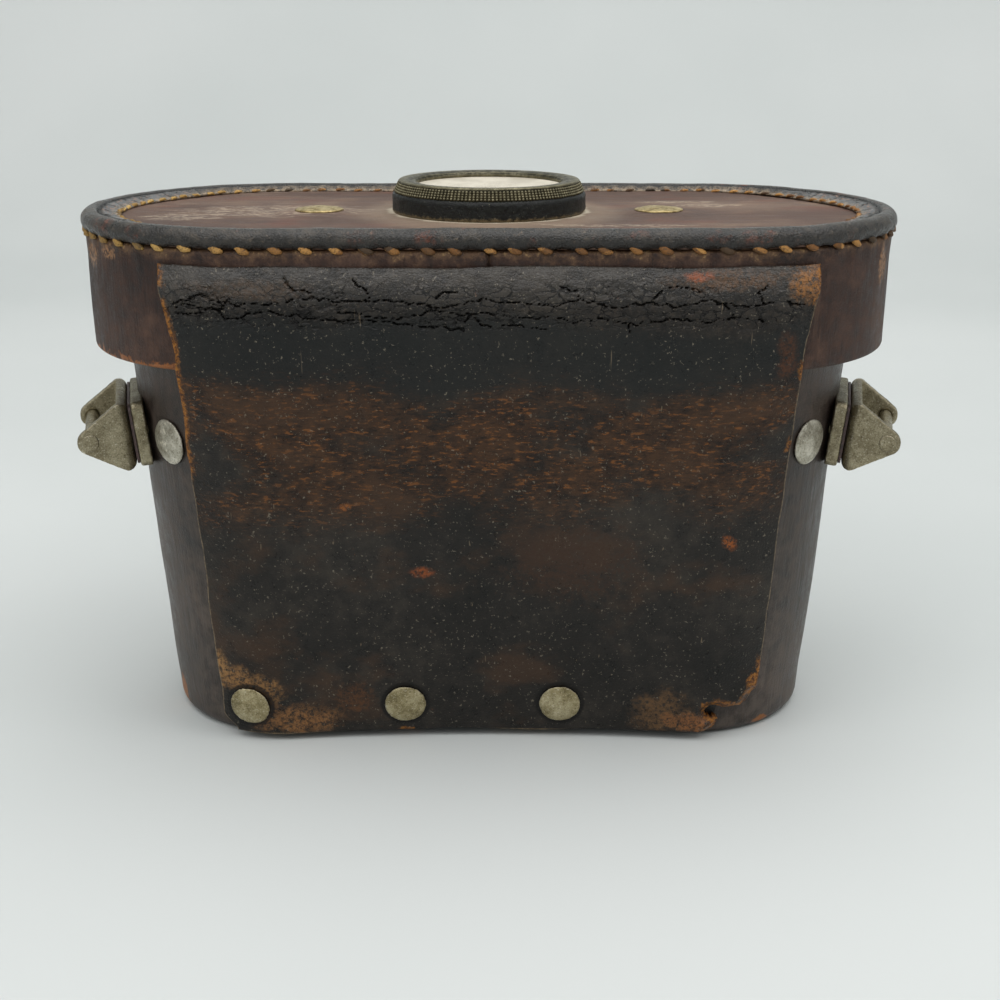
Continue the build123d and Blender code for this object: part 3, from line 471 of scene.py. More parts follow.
def top_cowhide():
    """The lid's flat hide: matt brown under dust, pale scuffs along it and a dusty ring by the compass."""
    material, tree, shader = new_material("dusty_cowhide", IOR=1.42)
    place = add(tree, "TexCoord").outputs["Object"]
    colour, mottled, height = hide(tree, place, ("#44322a", "#5a463c", "#7b6656"), blotch=34, seed=5,
                                   stretch=(2.4, 1, 1))
    streaks = fractal(tree, place, 1.5, 6, 0.7, (16, 1, 1), 3)
    colour = layer(tree, colour, "#9c8a78", streaks, 0.55, 0.75, 0.55)
    colour = layer(tree, colour, "#43322a", streaks, 0.43, 0.3, 0.5)
    red = fractal(tree, place, 18, 4, 0.6, (1.6, 1, 1), 9)
    colour = layer(tree, colour, "#683f32", red, 0.52, 0.68, 0.5)
    fleck = fractal(tree, place, 1.1, 4, 0.75, (2, 1, 1), 6)
    scuffs = (((55, 14, 127), (14, 6, 9)), ((49, 22, 127), (16, 4, 9)), ((-52, 3, 127), (34, 16, 9)),
              ((-74, -8, 127), (16, 12, 9)), ((30, -24, 127), (26, 4, 9)))
    for centre, reach in scuffs:
        scuffed = spot(tree, place, centre, reach, streaks)
        colour = layer(tree, colour, "#b5a590", fleck, 0.42, 0.66, 0.75, scuffed)
    flat = add(tree, "VectorMath", (place, (1, 1, 0)), operation="MULTIPLY")
    away = add(tree, "VectorMath", (flat,), operation="LENGTH").outputs["Value"]
    dusty = add(tree, "Math", (mottled, 0.006, away), operation="MULTIPLY_ADD")
    colour = layer(tree, colour, "#9a8873", dusty, 0.040, 0.028, 0.45)
    colour = layer(tree, colour, "#c9bda6", dusty, 0.0283, 0.0265, 0.9)
    surface(tree, shader, colour, (mottled, 0.6, 0.82), [
        (fractal(tree, place, 14, 3, 0.5, seed=5), 0.5), (streaks, 0.12), (height, 0.07)])
    return material


def rim_cowhide():
    """Bridle leather binding, blackened and waxed: a dull shine on the crest, rusty brown in the rubs, and
    grey and puckered where it is gathered round the two ends; its bead is painted darker towards its
    underside as painted shade."""
    material, tree, shader = new_material("blackened_bridle_leather", IOR=1.5)
    place = add(tree, "TexCoord").outputs["Object"]
    colour, mottled, height = hide(tree, place, ("#161512", "#272420", "#4d463d"), grain=0.7, blotch=14,
                                   seed=8)
    fleck = fractal(tree, place, 1.2, 5, 0.75, seed=4)
    colour = layer(tree, colour, "#7b6c5a", fleck, 0.55, 0.72, 0.6)
    patches = add(tree, "MapRange", (fractal(tree, place, 7, 4, 0.6, seed=13), 0.56, 0.66, 0, 0.7))
    colour = layer(tree, colour, "#6a3722", fleck, 0.4, 0.6, 1.0, patches)
    split = add(tree, "SeparateXYZ", (place,))
    # Painted shade: the bead is darkened towards its underside, where it turns in under itself.
    colour = layer(tree, colour, "#130d08", split.outputs["Z"], 0.1264, 0.1248, 0.92)
    inward = add(tree, "Attribute", attribute_name="inner_edge").outputs["Fac"]
    seam = add(tree, "Attribute", attribute_name="seam").outputs["Fac"]
    off_centre = add(tree, "Math", (split.outputs["X"],), operation="ABSOLUTE")
    ends = add(tree, "MapRange", (off_centre, 0.074, 0.086))
    slope = add(tree, "MapRange", (inward, 0.5, 0.56, 0.0, ends))
    colour = layer(tree, colour, "#6d6f70", mottled, 0.36, 0.56, 0.8, slope)
    colour = layer(tree, colour, "#a5836f", fleck, 0.52, 0.66, 0.8, slope)
    edge = add(tree, "MapRange", (inward, 0.72, 0.98))
    colour = layer(tree, colour, "#ab967b", fleck, 0.35, 0.6, 0.8, edge)
    colour = layer(tree, colour, "#090706", seam, 0.2, 0.7, 0.95)
    surface(tree, shader, colour, (mottled, 0.2, 0.46), [
        (fractal(tree, place, 4, 4, 0.55, seed=5), 0.45), (fleck, 0.16), (height, 0.12)])
    return material


# Worn spots of the hinge panel: centre and reach in millimetres, tilt in degrees, and colour.
PANEL_SPOTS = (
    ((-61, -40, 16.5), (15, 22, 6.5), 20, "#8f683e"),
    ((-47, -36, 6.2), (17, 20, 6), 0, "#855d38"),
    ((-67, -40, 19), (5, 20, 9), 0, "#9c7548"),
    ((42, -36, 8), (11, 20, 9), 0, "#63492f"),
    ((51, -38, 5), (11, 22, 4), 10, "#8a5a34"),
    ((-33, -36, 12), (7, 20, 6), 0, "#553721"),
    ((-16, -40, 47), (4.2, 20, 2.2), 0, "#8c4a24"),
    ((56, -43, 55), (2.4, 20, 3.4), -20, "#94501f"),
    ((-33.3, -45, 64.5), (2.4, 20, 1.6), 0, "#8f5628"),
    ((-52, -46, 115.6), (20, 20, 3.4), 0, "#46372a"),
    ((66, -48, 100), (4, 20, 9), 0, "#4a2d1c"),
    ((20, -40, 50), (24, 22, 15), 0, "#3a281d"),
    ((52, -47, 117.6), (19, 20, 3.4), 0, "#59402b"),
    ((70.5, -47, 117), (7, 22, 6.5), 0, "#92602c"),
    ((45, -47, 118.4), (5, 20, 1.6), 0, "#8c4a2a"))
# Stretches where the panel's cut edge is worn to raw leather: centre and reach in millimetres.
RAW_STRETCHES = (
    ((-70, -46, 92), (9, 25, 38)),
    ((-70, -46, 118), (12, 25, 6)),
    ((71, -48, 117.5), (11, 25, 8)),
    ((69, -46, 97), (5, 25, 4)),
    ((67, -44, 79), (4, 25, 3)),
    ((66, -38, 17), (8, 30, 11)),
    ((60, -36, 6), (13, 30, 11)),
    ((-20.5, -36, 2), (4, 25, 3)),
    ((-58.4, -48, 119), (4.4, 25, 2.6)))


def brown_wrinkles(tree, mottled, wrinkle):
    """Brown of the band below the cracks: a painted highlight makes its wrinkles light on their crests, and
    painted shade makes them black between.
    """
    brown = layer(tree, "#281a11", "#452e1c", mottled, 0.35, 0.65)
    # Painted highlight on the wrinkles' crests, then painted shade between them.
    brown = layer(tree, brown, "#865326", wrinkle, 0.56, 0.63, 0.7)
    return layer(tree, brown, "#130d09", wrinkle, 0.46, 0.37, 0.8)


def crack_net(tree, place):
    """Net of fine flex cracks, drawn out along the panel: 0 in a crack and 1 on whole leather."""
    warp = fractal(tree, place, 2.2, 3, 0.6, seed=27).outputs["Color"]
    bent = add(tree, "VectorMath", (warp, (0.004, 0.0, 0.0026), place), operation="MULTIPLY_ADD")
    drawn = add(tree, "Mapping", {"Vector": bent, "Scale": (0.42, 1, 1)})
    net = add(tree, "TexVoronoi", {"Vector": drawn, "Scale": per(1.7)}, feature="DISTANCE_TO_EDGE")
    return add(tree, "MapRange", (net, 0.015, 0.1), interpolation_type="SMOOTHSTEP")


def worn_spots(tree, place, colour, fleck, mottled):
    """Colour with the panel's spots rubbed to tan or rust on it, and the black ring round each rivet."""
    for centre, reach, tilt, tone in PANEL_SPOTS:
        worn = spot(tree, place, centre, reach, mottled, tilt, 0.3)
        colour = layer(tree, colour, tone, fleck, 0.36, 0.6, 0.95, worn)
    for x, z in PANEL_RIVETS:
        ring = spot(tree, place, (x, -36, z), (10.2, 60, 10.2), 0.5, soft=0.05)
        colour = layer(tree, colour, "#0f0c0a", ring, 0, 1, 0.85)
    return colour


def raw_edges(tree, place, colour, fleck, mottled):
    """Colour with the panel's cut edges on it: rust orange where they are raw, elsewhere a thin worn line."""
    cut = add(tree, "Attribute", attribute_name="edge_near").outputs["Fac"]
    raw = layer(tree, "#4d2810", "#a06a2c", fleck, 0.38, 0.64)
    bare = None
    for centre, reach in RAW_STRETCHES:
        zone = spot(tree, place, centre, reach, mottled)
        bare = add(tree, "Math", (zone, bare), operation="MAXIMUM") if bare else zone
    thin = layer(tree, "#54483a", "#8a775c", fleck, 0.4, 0.6)
    edge_tone = layer(tree, thin, raw, bare, 0.2, 0.8)
    fray = fractal(tree, place, 2.4, 5, 0.7, seed=17)
    torn = add(tree, "Math", (fray, -3.4, cut), operation="MULTIPLY_ADD")
    ripped = spot(tree, place, (63, -36, 9), (16, 40, 16), mottled)
    torn = add(tree, "Math", (ripped, -1.9, torn), operation="MULTIPLY_ADD")
    near = add(tree, "MapRange", (torn, -0.2, -1.5), interpolation_type="SMOOTHSTEP")
    opened = add(tree, "Math", (near, bare), operation="MULTIPLY")
    colour = layer(tree, colour, raw, fleck, 0.3, 0.5, 1.0, opened)
    return layer(tree, colour, edge_tone, cut, 0.35, 0.05, 0.9)


def panel_cowhide():
    """Thick oiled harness leather: blackened and cracked where it flexed, brown and finely wrinkled below,
    rust orange at its worn edges, and rubbed to tan round the lower rivets. Painted shade lies in its cracks
    and between its wrinkles, painted highlight on the wrinkles' crests and on the shoulder, and a painted
    blue-black reflection over the brown band."""
    material, tree, shader = new_material("oiled_harness_leather", IOR=1.5)
    place = add(tree, "Attribute", attribute_name="rest_place").outputs["Vector"]
    cracked = add(tree, "Attribute", attribute_name="crack").outputs["Fac"]
    colour, mottled, height = hide(tree, place, ("#161513", "#23201d", "#37322c"), blotch=32, seed=1)
    up = add(tree, "SeparateXYZ", (place,)).outputs["Z"]
    fleck = fractal(tree, place, 1.0, 5, 0.75, seed=4)
    level = add(tree, "Math", (fractal(tree, place, 30, 4, 0.55, (2, 1, 1), 6), 0.022, up),
                operation="MULTIPLY_ADD")
    cloud = fractal(tree, place, 20, 5, 0.6, (1.5, 1, 1), 12)
    wrinkle = fractal(tree, place, 0.75, 5, 0.62, (3.2, 1, 1), 9)
    # Brown band of fine wrinkles, with a blue-black painted reflection of the leather's sheen over it and
    # dull brown clouds below.
    band = between(tree, level, 0.066, 0.084, 0.097, 0.111)
    colour = layer(tree, colour, brown_wrinkles(tree, mottled, wrinkle), cloud, 0.36, 0.54, 0.95, band)
    below = add(tree, "MapRange", (level, 0.105, 0.099))
    colour = layer(tree, colour, "#463223", cloud, 0.5, 0.64, 0.6, below)
    # Painted reflection: a blue-black band stands for the sheen of the oiled leather.
    blue = between(tree, level, 0.100, 0.107, 0.116, 0.122)
    colour = layer(tree, colour, "#191c1c", blue, 0, 1, 0.7)
    upper = add(tree, "MapRange", (level, 0.115, 0.121))
    colour = layer(tree, colour, "#4a3f35", fleck, 0.5, 0.68, 0.4, upper)
    # Painted highlight: the shoulder is laid grey for the sheen on its roll.
    shoulder = add(tree, "MapRange", (up, 0.111, 0.117))
    colour = layer(tree, colour, "#47423c", mottled, 0.34, 0.6, 0.45, shoulder)
    # Flex cracks: the deep ones of the mesh and a finer net between them, both painted near black as painted
    # shade inside them.
    whole = crack_net(tree, place)
    uneven = add(tree, "Math", (cloud, 0.006, up), operation="MULTIPLY_ADD")
    flexed = between(tree, uneven, 0.1085, 0.112, 0.118, 0.1215)
    patchy = add(tree, "MapRange", (mottled, 0.4, 0.54))
    broken = add(tree, "Math", (flexed, patchy), operation="MULTIPLY")
    # Painted shade: the fine net and the deep cracks are darkened for the shade inside them.
    colour = layer(tree, colour, "#0b0908", whole, 0.6, 0.1, 0.95, broken)
    colour = layer(tree, colour, "#040303", cracked, 0.15, 0.7, 0.95)
    # Rust, scratches and dust, then the places rubbed down to tan and the cut edges.
    rusty = add(tree, "MapRange", (fractal(tree, place, 5, 5, 0.7, seed=21), 0.68, 0.76))
    colour = layer(tree, colour, "#87491f", fleck, 0.42, 0.6, 0.6, rusty)
    scratches = fractal(tree, place, 0.6, 2, 0.5, (1.5, 1, 45), 31)
    colour = layer(tree, colour, "#8a7a64", scratches, 0.73, 0.78, 0.5)
    dust = fractal(tree, place, 0.8, 2, 0.8, seed=14)
    colour = layer(tree, colour, "#8b8272", dust, 0.64, 0.7, 0.55)
    colour = worn_spots(tree, place, colour, fleck, mottled)
    colour = raw_edges(tree, place, colour, fleck, mottled)
    solid = add(tree, "MapRange", (cracked, 0.0, 1.0, 1.0, 0.0))
    furrow = add(tree, "Mix", {"Factor": broken, "A": 1.0, "B": whole}, data_type="FLOAT")
    wrinkled = add(tree, "Math", (band, upper), operation="MAXIMUM")
    crinkle = add(tree, "Math", (wrinkle, wrinkled), operation="MULTIPLY")
    oiled = add(tree, "MapRange", (shoulder, 0.0, 1.0, 0.22, 0.5))
    tree.links.new(oiled.outputs[0], shader.inputs["Specular IOR Level"])
    gloss = add(tree, "Math", (shoulder, -0.2, mottled), operation="MULTIPLY_ADD")
    surface(tree, shader, colour, (gloss, 0.25, 0.5), [
        (fractal(tree, place, 6, 4, 0.55, (1.6, 1, 1), 5), 0.35), (crinkle, 0.3), (furrow, 0.3), (solid, 0.3),
        (height, 0.08)])
    return material


def inner_cowhide():
    """Undyed split cowhide of the neck: plain brown with a soft nap."""
    material, tree, shader = new_material("split_cowhide", IOR=1.42, Sheen_Weight=0.15)
    place = add(tree, "TexCoord").outputs["Object"]
    colour, mottled, height = hide(tree, place, ("#3d2818", "#5c3f28", "#79573a"), grain=0.6, blotch=20,
                                   seed=15)
    surface(tree, shader, colour, (mottled, 0.55, 0.8), [(height, 0.12)])
    return material


def tab_cowhide():
    """Strap-grade cowhide of the closing tab: black, polished by handling, brown at its cut edges."""
    material, tree, shader = new_material("strap_cowhide", IOR=1.5)
    place = add(tree, "TexCoord").outputs["Object"]
    colour, mottled, height = hide(tree, place, ("#1a1715", "#2b2420", "#44372e"), blotch=14, seed=19)
    edge = add(tree, "NewGeometry").outputs["Pointiness"]
    ragged = add(tree, "Math", (mottled, 0.1, edge), operation="MULTIPLY_ADD")
    colour = layer(tree, colour, "#7c4a28", ragged, 0.57, 0.6, 0.85)
    surface(tree, shader, colour, (mottled, 0.32, 0.55), [(fractal(tree, place, 5, 3, 0.5, seed=5), 0.3),
                                                         (height, 0.08)])
    return material


def wool_felt():
    """Pressed wool felt: matt olive brown, fibres lying every way, so its surface is soft and uneven."""
    material, tree, shader = new_material("pressed_wool_felt", IOR=1.4, Sheen_Weight=0.4, Sheen_Roughness=0.6)
    place = add(tree, "TexCoord").outputs["Object"]
    cloudy = fractal(tree, place, 16, 5, 0.6)
    fibres = fractal(tree, place, 0.5, 6, 0.8, (1, 1, 1), 3)
    colour = add(tree, "ValToRGB", (cloudy,), stops=((0.34, "#3a3327"), (0.68, "#5c523e")))
    colour = layer(tree, colour, "#7b7058", fibres, 0.55, 0.7, 0.5)
    surface(tree, shader, colour, (fibres, 0.85, 1.0), [(fractal(tree, place, 3, 3, 0.6, seed=2), 0.3),
                                                       (fibres, 0.2)])
    return material


def waxed_thread():
    """Waxed linen thread: twisted, gold where the wax has worn, brown to black where polish has soaked in."""
    material, tree, shader = new_material("waxed_linen_thread", IOR=1.45)
    place = add(tree, "TexCoord").outputs["Object"]
    stitch = add(tree, "TexVoronoi", {"Vector": place, "Scale": per(5.5)}, feature="F1")
    tone = add(tree, "SeparateColor", (stitch.outputs["Color"],)).outputs[0]
    along = add(tree, "SeparateXYZ", (place,)).outputs["X"]
    gold = add(tree, "ValToRGB", (tone,), stops=((0.0, "#5c4a2a"), (1.0, "#cfab62"), (0.45, "#a07c3e")))
    brown = add(tree, "ValToRGB", (tone,), stops=((0.0, "#2b2015"), (1.0, "#b07c40"), (0.5, "#7a4b22")))
    colour = layer(tree, gold, brown, along, -0.085, -0.045, 0.85)
    strands = fractal(tree, place, 0.35, 3, 0.6)
    colour = layer(tree, colour, "#3c2a16", strands, 0.48, 0.36, 0.8)
    surface(tree, shader, colour, (strands, 0.5, 0.75), [(strands, 0.15)])
    return material


# ---------------------------------------------------------------- metals, glass and card
def pitted_nickel(name, dark, middle, light, bare):
    """Nickel-plated brass, aged: warm olive grey, its plate pitted and dull, bright only where rubbed."""
    material, tree, shader = new_material(name, Metallic=bare)
    place = add(tree, "TexCoord").outputs["Object"]
    tarnish = fractal(tree, place, 4, 6, 0.7, seed=2)
    pits = fractal(tree, place, 0.42, 4, 0.75, seed=6)
    colour = add(tree, "ValToRGB", (tarnish,), stops=((0.36, dark), (0.66, light), (0.5, middle)))
    colour = layer(tree, colour, "#3d3424", pits, 0.45, 0.34, 0.7)
    colour = layer(tree, colour, "#e2ddcc", pits, 0.56, 0.68, 0.6)
    edge = add(tree, "NewGeometry").outputs["Pointiness"]
    colour = layer(tree, colour, "#e8e2d0", edge, 0.54, 0.62, 0.7)
    surface(tree, shader, colour, (pits, 0.55, 0.34), [(tarnish, 0.15), (pits, 0.09)])
    return material


def sheet_steel():
    """Rolled mild steel band: grey with faint rolling lines and a little brown bloom."""
    material, tree, shader = new_material("rolled_mild_steel", Metallic=1.0)
    place = add(tree, "TexCoord").outputs["Object"]
    rolled = fractal(tree, place, 0.8, 4, 0.6, (1, 18, 1), 1)
    bloom = fractal(tree, place, 5, 5, 0.7, seed=4)
    colour = layer(tree, "#83827e", "#5e4a38", bloom, 0.5, 0.7, 0.6)
    surface(tree, shader, colour, (rolled, 0.3, 0.5), [(rolled, 0.03)])
    return material


def hard_fibre():
    """Vulcanised fibre washer: dense purple brown, faintly layered."""
    material, tree, shader = new_material("vulcanised_fibre", IOR=1.5)
    place = add(tree, "TexCoord").outputs["Object"]
    layers = fractal(tree, place, 1.2, 5, 0.7, seed=5)
    colour = layer(tree, "#2e2220", "#54403c", layers, 0.35, 0.65)
    surface(tree, shader, colour, (layers, 0.45, 0.65), [(layers, 0.06)])
    return material


def dull_brass():
    """Brass, turned and left bare: dull olive gold with dark tarnish in the low places."""
    material, tree, shader = new_material("tarnished_brass", Metallic=0.9)
    place = add(tree, "TexCoord").outputs["Object"]
    tarnish = fractal(tree, place, 1.8, 6, 0.72, seed=7)
    colour = add(tree, "ValToRGB", (tarnish,), stops=((0.34, "#6e5d3a"), (0.68, "#d8c490"), (0.5, "#b09c6c")))
    surface(tree, shader, colour, (tarnish, 0.55, 0.36), [(tarnish, 0.08)])
    return material


def chipped_enamel():
    """Black stoving enamel over brass: lumpy, half matt, chipped in specks, with dust along its foot."""
    material, tree, shader = new_material("chipped_black_enamel", Specular_IOR_Level=0.35)
    place = add(tree, "TexCoord").outputs["Object"]
    lumps = fractal(tree, place, 1.0, 5, 0.7, seed=3)
    chips = fractal(tree, place, 0.45, 4, 0.8, seed=12)
    colour = layer(tree, "#090a09", "#1f221e", lumps, 0.4, 0.7)
    colour = layer(tree, colour, "#8d8874", chips, 0.63, 0.7, 0.95)
    up = add(tree, "SeparateXYZ", (place,)).outputs["Z"]
    low = add(tree, "Math", (lumps, -0.003, up), operation="MULTIPLY_ADD")
    colour = layer(tree, colour, "#8f7d5d", low, 0.1262, 0.1252, 0.7)
    surface(tree, shader, colour, (lumps, 0.35, 0.6), [(lumps, 0.28), (chips, 0.08)])
    return material


def worn_blacking():
    """Chemically blackened brass, worn back to olive metal on every high point of the knurling."""
    material, tree, shader = new_material("worn_blackened_brass", Metallic=0.7)
    place = add(tree, "TexCoord").outputs["Object"]
    wear = fractal(tree, place, 1.6, 6, 0.75, seed=9)
    edge = add(tree, "NewGeometry").outputs["Pointiness"]
    colour = layer(tree, "#25241c", "#5d594a", wear, 0.42, 0.62)
    colour = layer(tree, colour, "#9a9272", edge, 0.5, 0.57, 0.9, wear)
    surface(tree, shader, colour, (wear, 0.55, 0.38), [(wear, 0.05)])
    return material


def clouded_glass():
    """Compass crystal: glass gone milky with scratches and dust, so the card below shows only faintly."""
    material, tree, shader = new_material("clouded_crown_glass", IOR=1.52, Transmission_Weight=0.12)
    place = add(tree, "TexCoord").outputs["Object"]
    haze = fractal(tree, place, 7, 6, 0.65, seed=2)
    dust = fractal(tree, place, 0.9, 4, 0.75, seed=4)
    colour = layer(tree, "#c4bba8", "#dad2c0", haze, 0.35, 0.65)
    colour = layer(tree, colour, "#a89c84", dust, 0.58, 0.7, 0.5)
    surface(tree, shader, colour, (haze, 0.35, 0.65), [(dust, 0.02)])
    return material


def yellowed_card():
    """Printed card of the compass dial, yellowed."""
    material, tree, shader = new_material("yellowed_card", IOR=1.4)
    place = add(tree, "TexCoord").outputs["Object"]
    stain = fractal(tree, place, 6, 5, 0.6, seed=6)
    colour = layer(tree, "#e2d8bd", "#c2ae88", stain, 0.4, 0.7)
    surface(tree, shader, colour, (stain, 0.6, 0.8), [(stain, 0.01)])
    return material


def blued_steel():
    """Tempered steel needle: deep blue-black oxide with a soft shine."""
    material, tree, shader = new_material("blued_steel", Metallic=0.9)
    place = add(tree, "TexCoord").outputs["Object"]
    oxide = fractal(tree, place, 3, 4, 0.6, seed=6)
    colour = layer(tree, "#1c2436", "#2e3340", oxide, 0.4, 0.7)
    surface(tree, shader, colour, (oxide, 0.28, 0.4), [(oxide, 0.01)])
    return material


CASE_LEATHER = case_cowhide()
SKIRT_LEATHER = skirt_cowhide()
TOP_LEATHER = top_cowhide()
RIM_LEATHER = rim_cowhide()
PANEL_LEATHER = panel_cowhide()
INNER_LEATHER = inner_cowhide()
TAB_LEATHER = tab_cowhide()
WOOL_FELT = wool_felt()
THREAD = waxed_thread()
NICKEL = pitted_nickel("pitted_nickel_plate", "#786e57", "#8f866d", "#a69d83", 0.9)
RIVET_NICKEL = pitted_nickel("dulled_nickel_plate", "#7b704f", "#9c906c", "#bcb190", 0.75)
BRIGHT_NICKEL = pitted_nickel("bright_nickel_plate", "#8d8777", "#b2ad9d", "#d6d1c3", 0.75)
STEEL = sheet_steel()
FIBRE = hard_fibre()
BRASS = dull_brass()
ENAMEL = chipped_enamel()
BLACKING = worn_blacking()
GLASS = clouded_glass()
CARD = yellowed_card()
BLUED = blued_steel()


# ---------------------------------------------------------------- body of the case
def arc(inset, height, radius, start, stop, count=6):
    """(inset, height) points round a quarter or so; 0 degrees points out of the case, 90 up."""
    return [(inset - radius * math.cos(math.radians(a)), height + radius * math.sin(math.radians(a)))
            for a in steps(start, stop, count)]


def body_wall():
    """Leather wall: rounded foot, tall tapered side with the sag of old leather, rounded mouth."""
    outline = arc(BASE_ROUND, BASE_ROUND, BASE_ROUND, -90, 0)
    outline += [(0, z) for z in steps(BASE_ROUND, CASE_HEIGHT - 1, 72)[1:-1]]
    outline += arc(1, CASE_HEIGHT - 1, 1, 0, 90, 3) + [(WALL - 0.6, CASE_HEIGHT), (WALL, CASE_HEIGHT - 0.6)]
    outline += [(WALL, z) for z in (CASE_HEIGHT - 20, CASE_HEIGHT / 2, BASE_THICKNESS, 0)]
    bm = ring_wall([(BODY_FORM, inset, height) for inset, height in outline])

    def sag(point, _):
        outer = point.xy.length > 1 and point.z > 0.5
        soft = swell(point, 38, 1) * 0.45 + swell(point, 14, 2) * 0.14
        return soft * ease(1, 12, point.z) * ease(110, 92, point.z) if outer else 0
    emboss(bm, sag)
    return finish_mesh(bm, "leather_body", CASE_LEATHER, "case", ("body_shell",))


def neck_wall():
    """Upright leather neck inside the mouth, its top edge pared round."""
    high = COLLAR_HEAD - 0.7
    outline = [(WALL + COLLAR, COLLAR_FOOT), (WALL, COLLAR_FOOT), (WALL, CASE_HEIGHT)]
    straight = [(WALL, z) for z in steps(CASE_HEIGHT, high, 6)[1:]] + arc(WALL + 0.7, high, 0.7, 20, 90, 3)
    straight += arc(WALL + COLLAR - 0.7, high, 0.7, 90, 180, 3)
    neck_form = (MOUTH_PLAN, MOUTH_PLAN, 0, 1)
    rings = [(BODY_FORM, inset, height) for inset, height in outline]
    rings += [(neck_form, inset, height) for inset, height in straight + [(WALL + COLLAR, CASE_HEIGHT)]]
    bm = ring_wall(rings)
    emboss(bm, lambda point, _: swell(point, 16, 4) * 0.12)
    return finish_mesh(bm, "leather_neck", INNER_LEATHER, "case", ("mouth_collar",))


def felt_wall():
    """Felt glued to the inside of the wall, with a window for the metal band at each end."""
    outer, inner = WALL, WALL + FELT
    window = [BAND_MIDDLE - BAND_HEIGHT / 2, BAND_MIDDLE + BAND_HEIGHT / 2]
    levels = sorted(steps(BASE_THICKNESS, COLLAR_FOOT, 40) + window)
    rings = [(BODY_FORM, outer, z) for z in levels] + [(BODY_FORM, inner, z) for z in reversed(levels)]
    bm = ring_wall(rings)

    def in_window(face):
        middle = face.calc_center_median()
        return abs(middle.x) > BAND_INNER_X and abs(middle.z - BAND_MIDDLE) < BAND_HEIGHT / 2
    gone = [face for face in bm.faces if in_window(face)]
    bmesh.ops.delete(bm, geom=gone, context="FACES")
    for side in (-1, 1):
        edge = [e for e in bm.edges if e.is_boundary and e.verts[0].co.x * side > 0]
        bmesh.ops.bridge_loops(bm, edges=edge)
    bmesh.ops.recalc_face_normals(bm, faces=bm.faces)
    piece = finish_mesh(bm, "felt_wall", WOOL_FELT, "case", ("body_lining",))


def felt_disc(name, form, inset, low, high, body, node, bore=0.0):
    """Flat felt that fills an outline, with an optional round bore and softened edges."""
    outline = [(inset + 0.3, low), (inset, low + 0.3), (inset, high - 0.4), (inset + 0.4, high)]
    rings = [(form, i, z) for i, z in outline]
    bm = ring_wall(rings, closed=False)
    for height, edge_height in ((high, outline[-1][1]), (low, outline[0][1])):
        loop = [e for e in bm.edges if e.is_boundary and abs(e.verts[0].co.z - edge_height) < 0.01]
        if bore:
            seat = Matrix.Translation((0, 0, height))
            hole = bmesh.ops.create_circle(bm, segments=128, radius=bore, matrix=seat)
            inner = list({e for v in hole["verts"] for e in v.link_edges})
            bmesh.ops.bridge_loops(bm, edges=loop + inner)
        else:
            bmesh.ops.edgeloop_fill(bm, edges=loop)
    if bore:
        rims = [e for e in bm.edges if e.is_boundary]
        bmesh.ops.bridge_loops(bm, edges=rims)
    bmesh.ops.triangulate(bm, faces=[f for f in bm.faces if len(f.verts) > 4])
    bmesh.ops.recalc_face_normals(bm, faces=bm.faces)
    return finish_mesh(bm, name, WOOL_FELT, body, (node,))


# ---------------------------------------------------------------- hinge panel
PANEL_LOW_PLAN = tuple(a + b for a, b in zip(plan_at(BODY_FORM, PANEL_LOW), (PANEL, PANEL, 0)))
PANEL_FOOT_PLAN = (SKIRT_FOOT_PLAN[0] + PANEL, SKIRT_FOOT_PLAN[1] + PANEL, SKIRT_FOOT_PLAN[2])
PANEL_HEAD_PLAN = (SKIRT_HEAD_PLAN[0] + PANEL, SKIRT_HEAD_PLAN[1] + PANEL, SKIRT_HEAD_PLAN[2])
PANEL_LOWER = (PANEL_LOW_PLAN, PANEL_FOOT_PLAN, PANEL_LOW, SKIRT_FOOT)
PANEL_UPPER = (PANEL_FOOT_PLAN, PANEL_HEAD_PLAN, SKIRT_FOOT, SKIRT_HEAD)
# Rows of the panel's mesh up to each height: close together at the torn corner and in the cracks.
PANEL_ROWS = ((30, 15.0), (26, 104.0), (50, 118.0), (6, PANEL_HIGH))
PANEL_COLUMNS = 430
FAR = 99                    # stands for a distance that is too great to matter
# The torn corner, as (x, z) from the empty rivet hole: over the hole, along the upper flap, out past the
# panel's corner and back up the lower flap.
TEAR = ((-1.3, 0.3), (-0.6, 1.35), (0.6, 1.5), (1.46, 1.3), (2.3, 1.0), (4.1, 0.45), (7.6, 0.8), (9.7, 2.5),
        (10.6, 4.6), (17, 5.4), (17, -12), (-0.6, -12), (0, -5.9), (1.6, -4.3), (2.3, -2.2), (1.5, -1.2),
        (0.2, -1.5), (-1, -0.9))
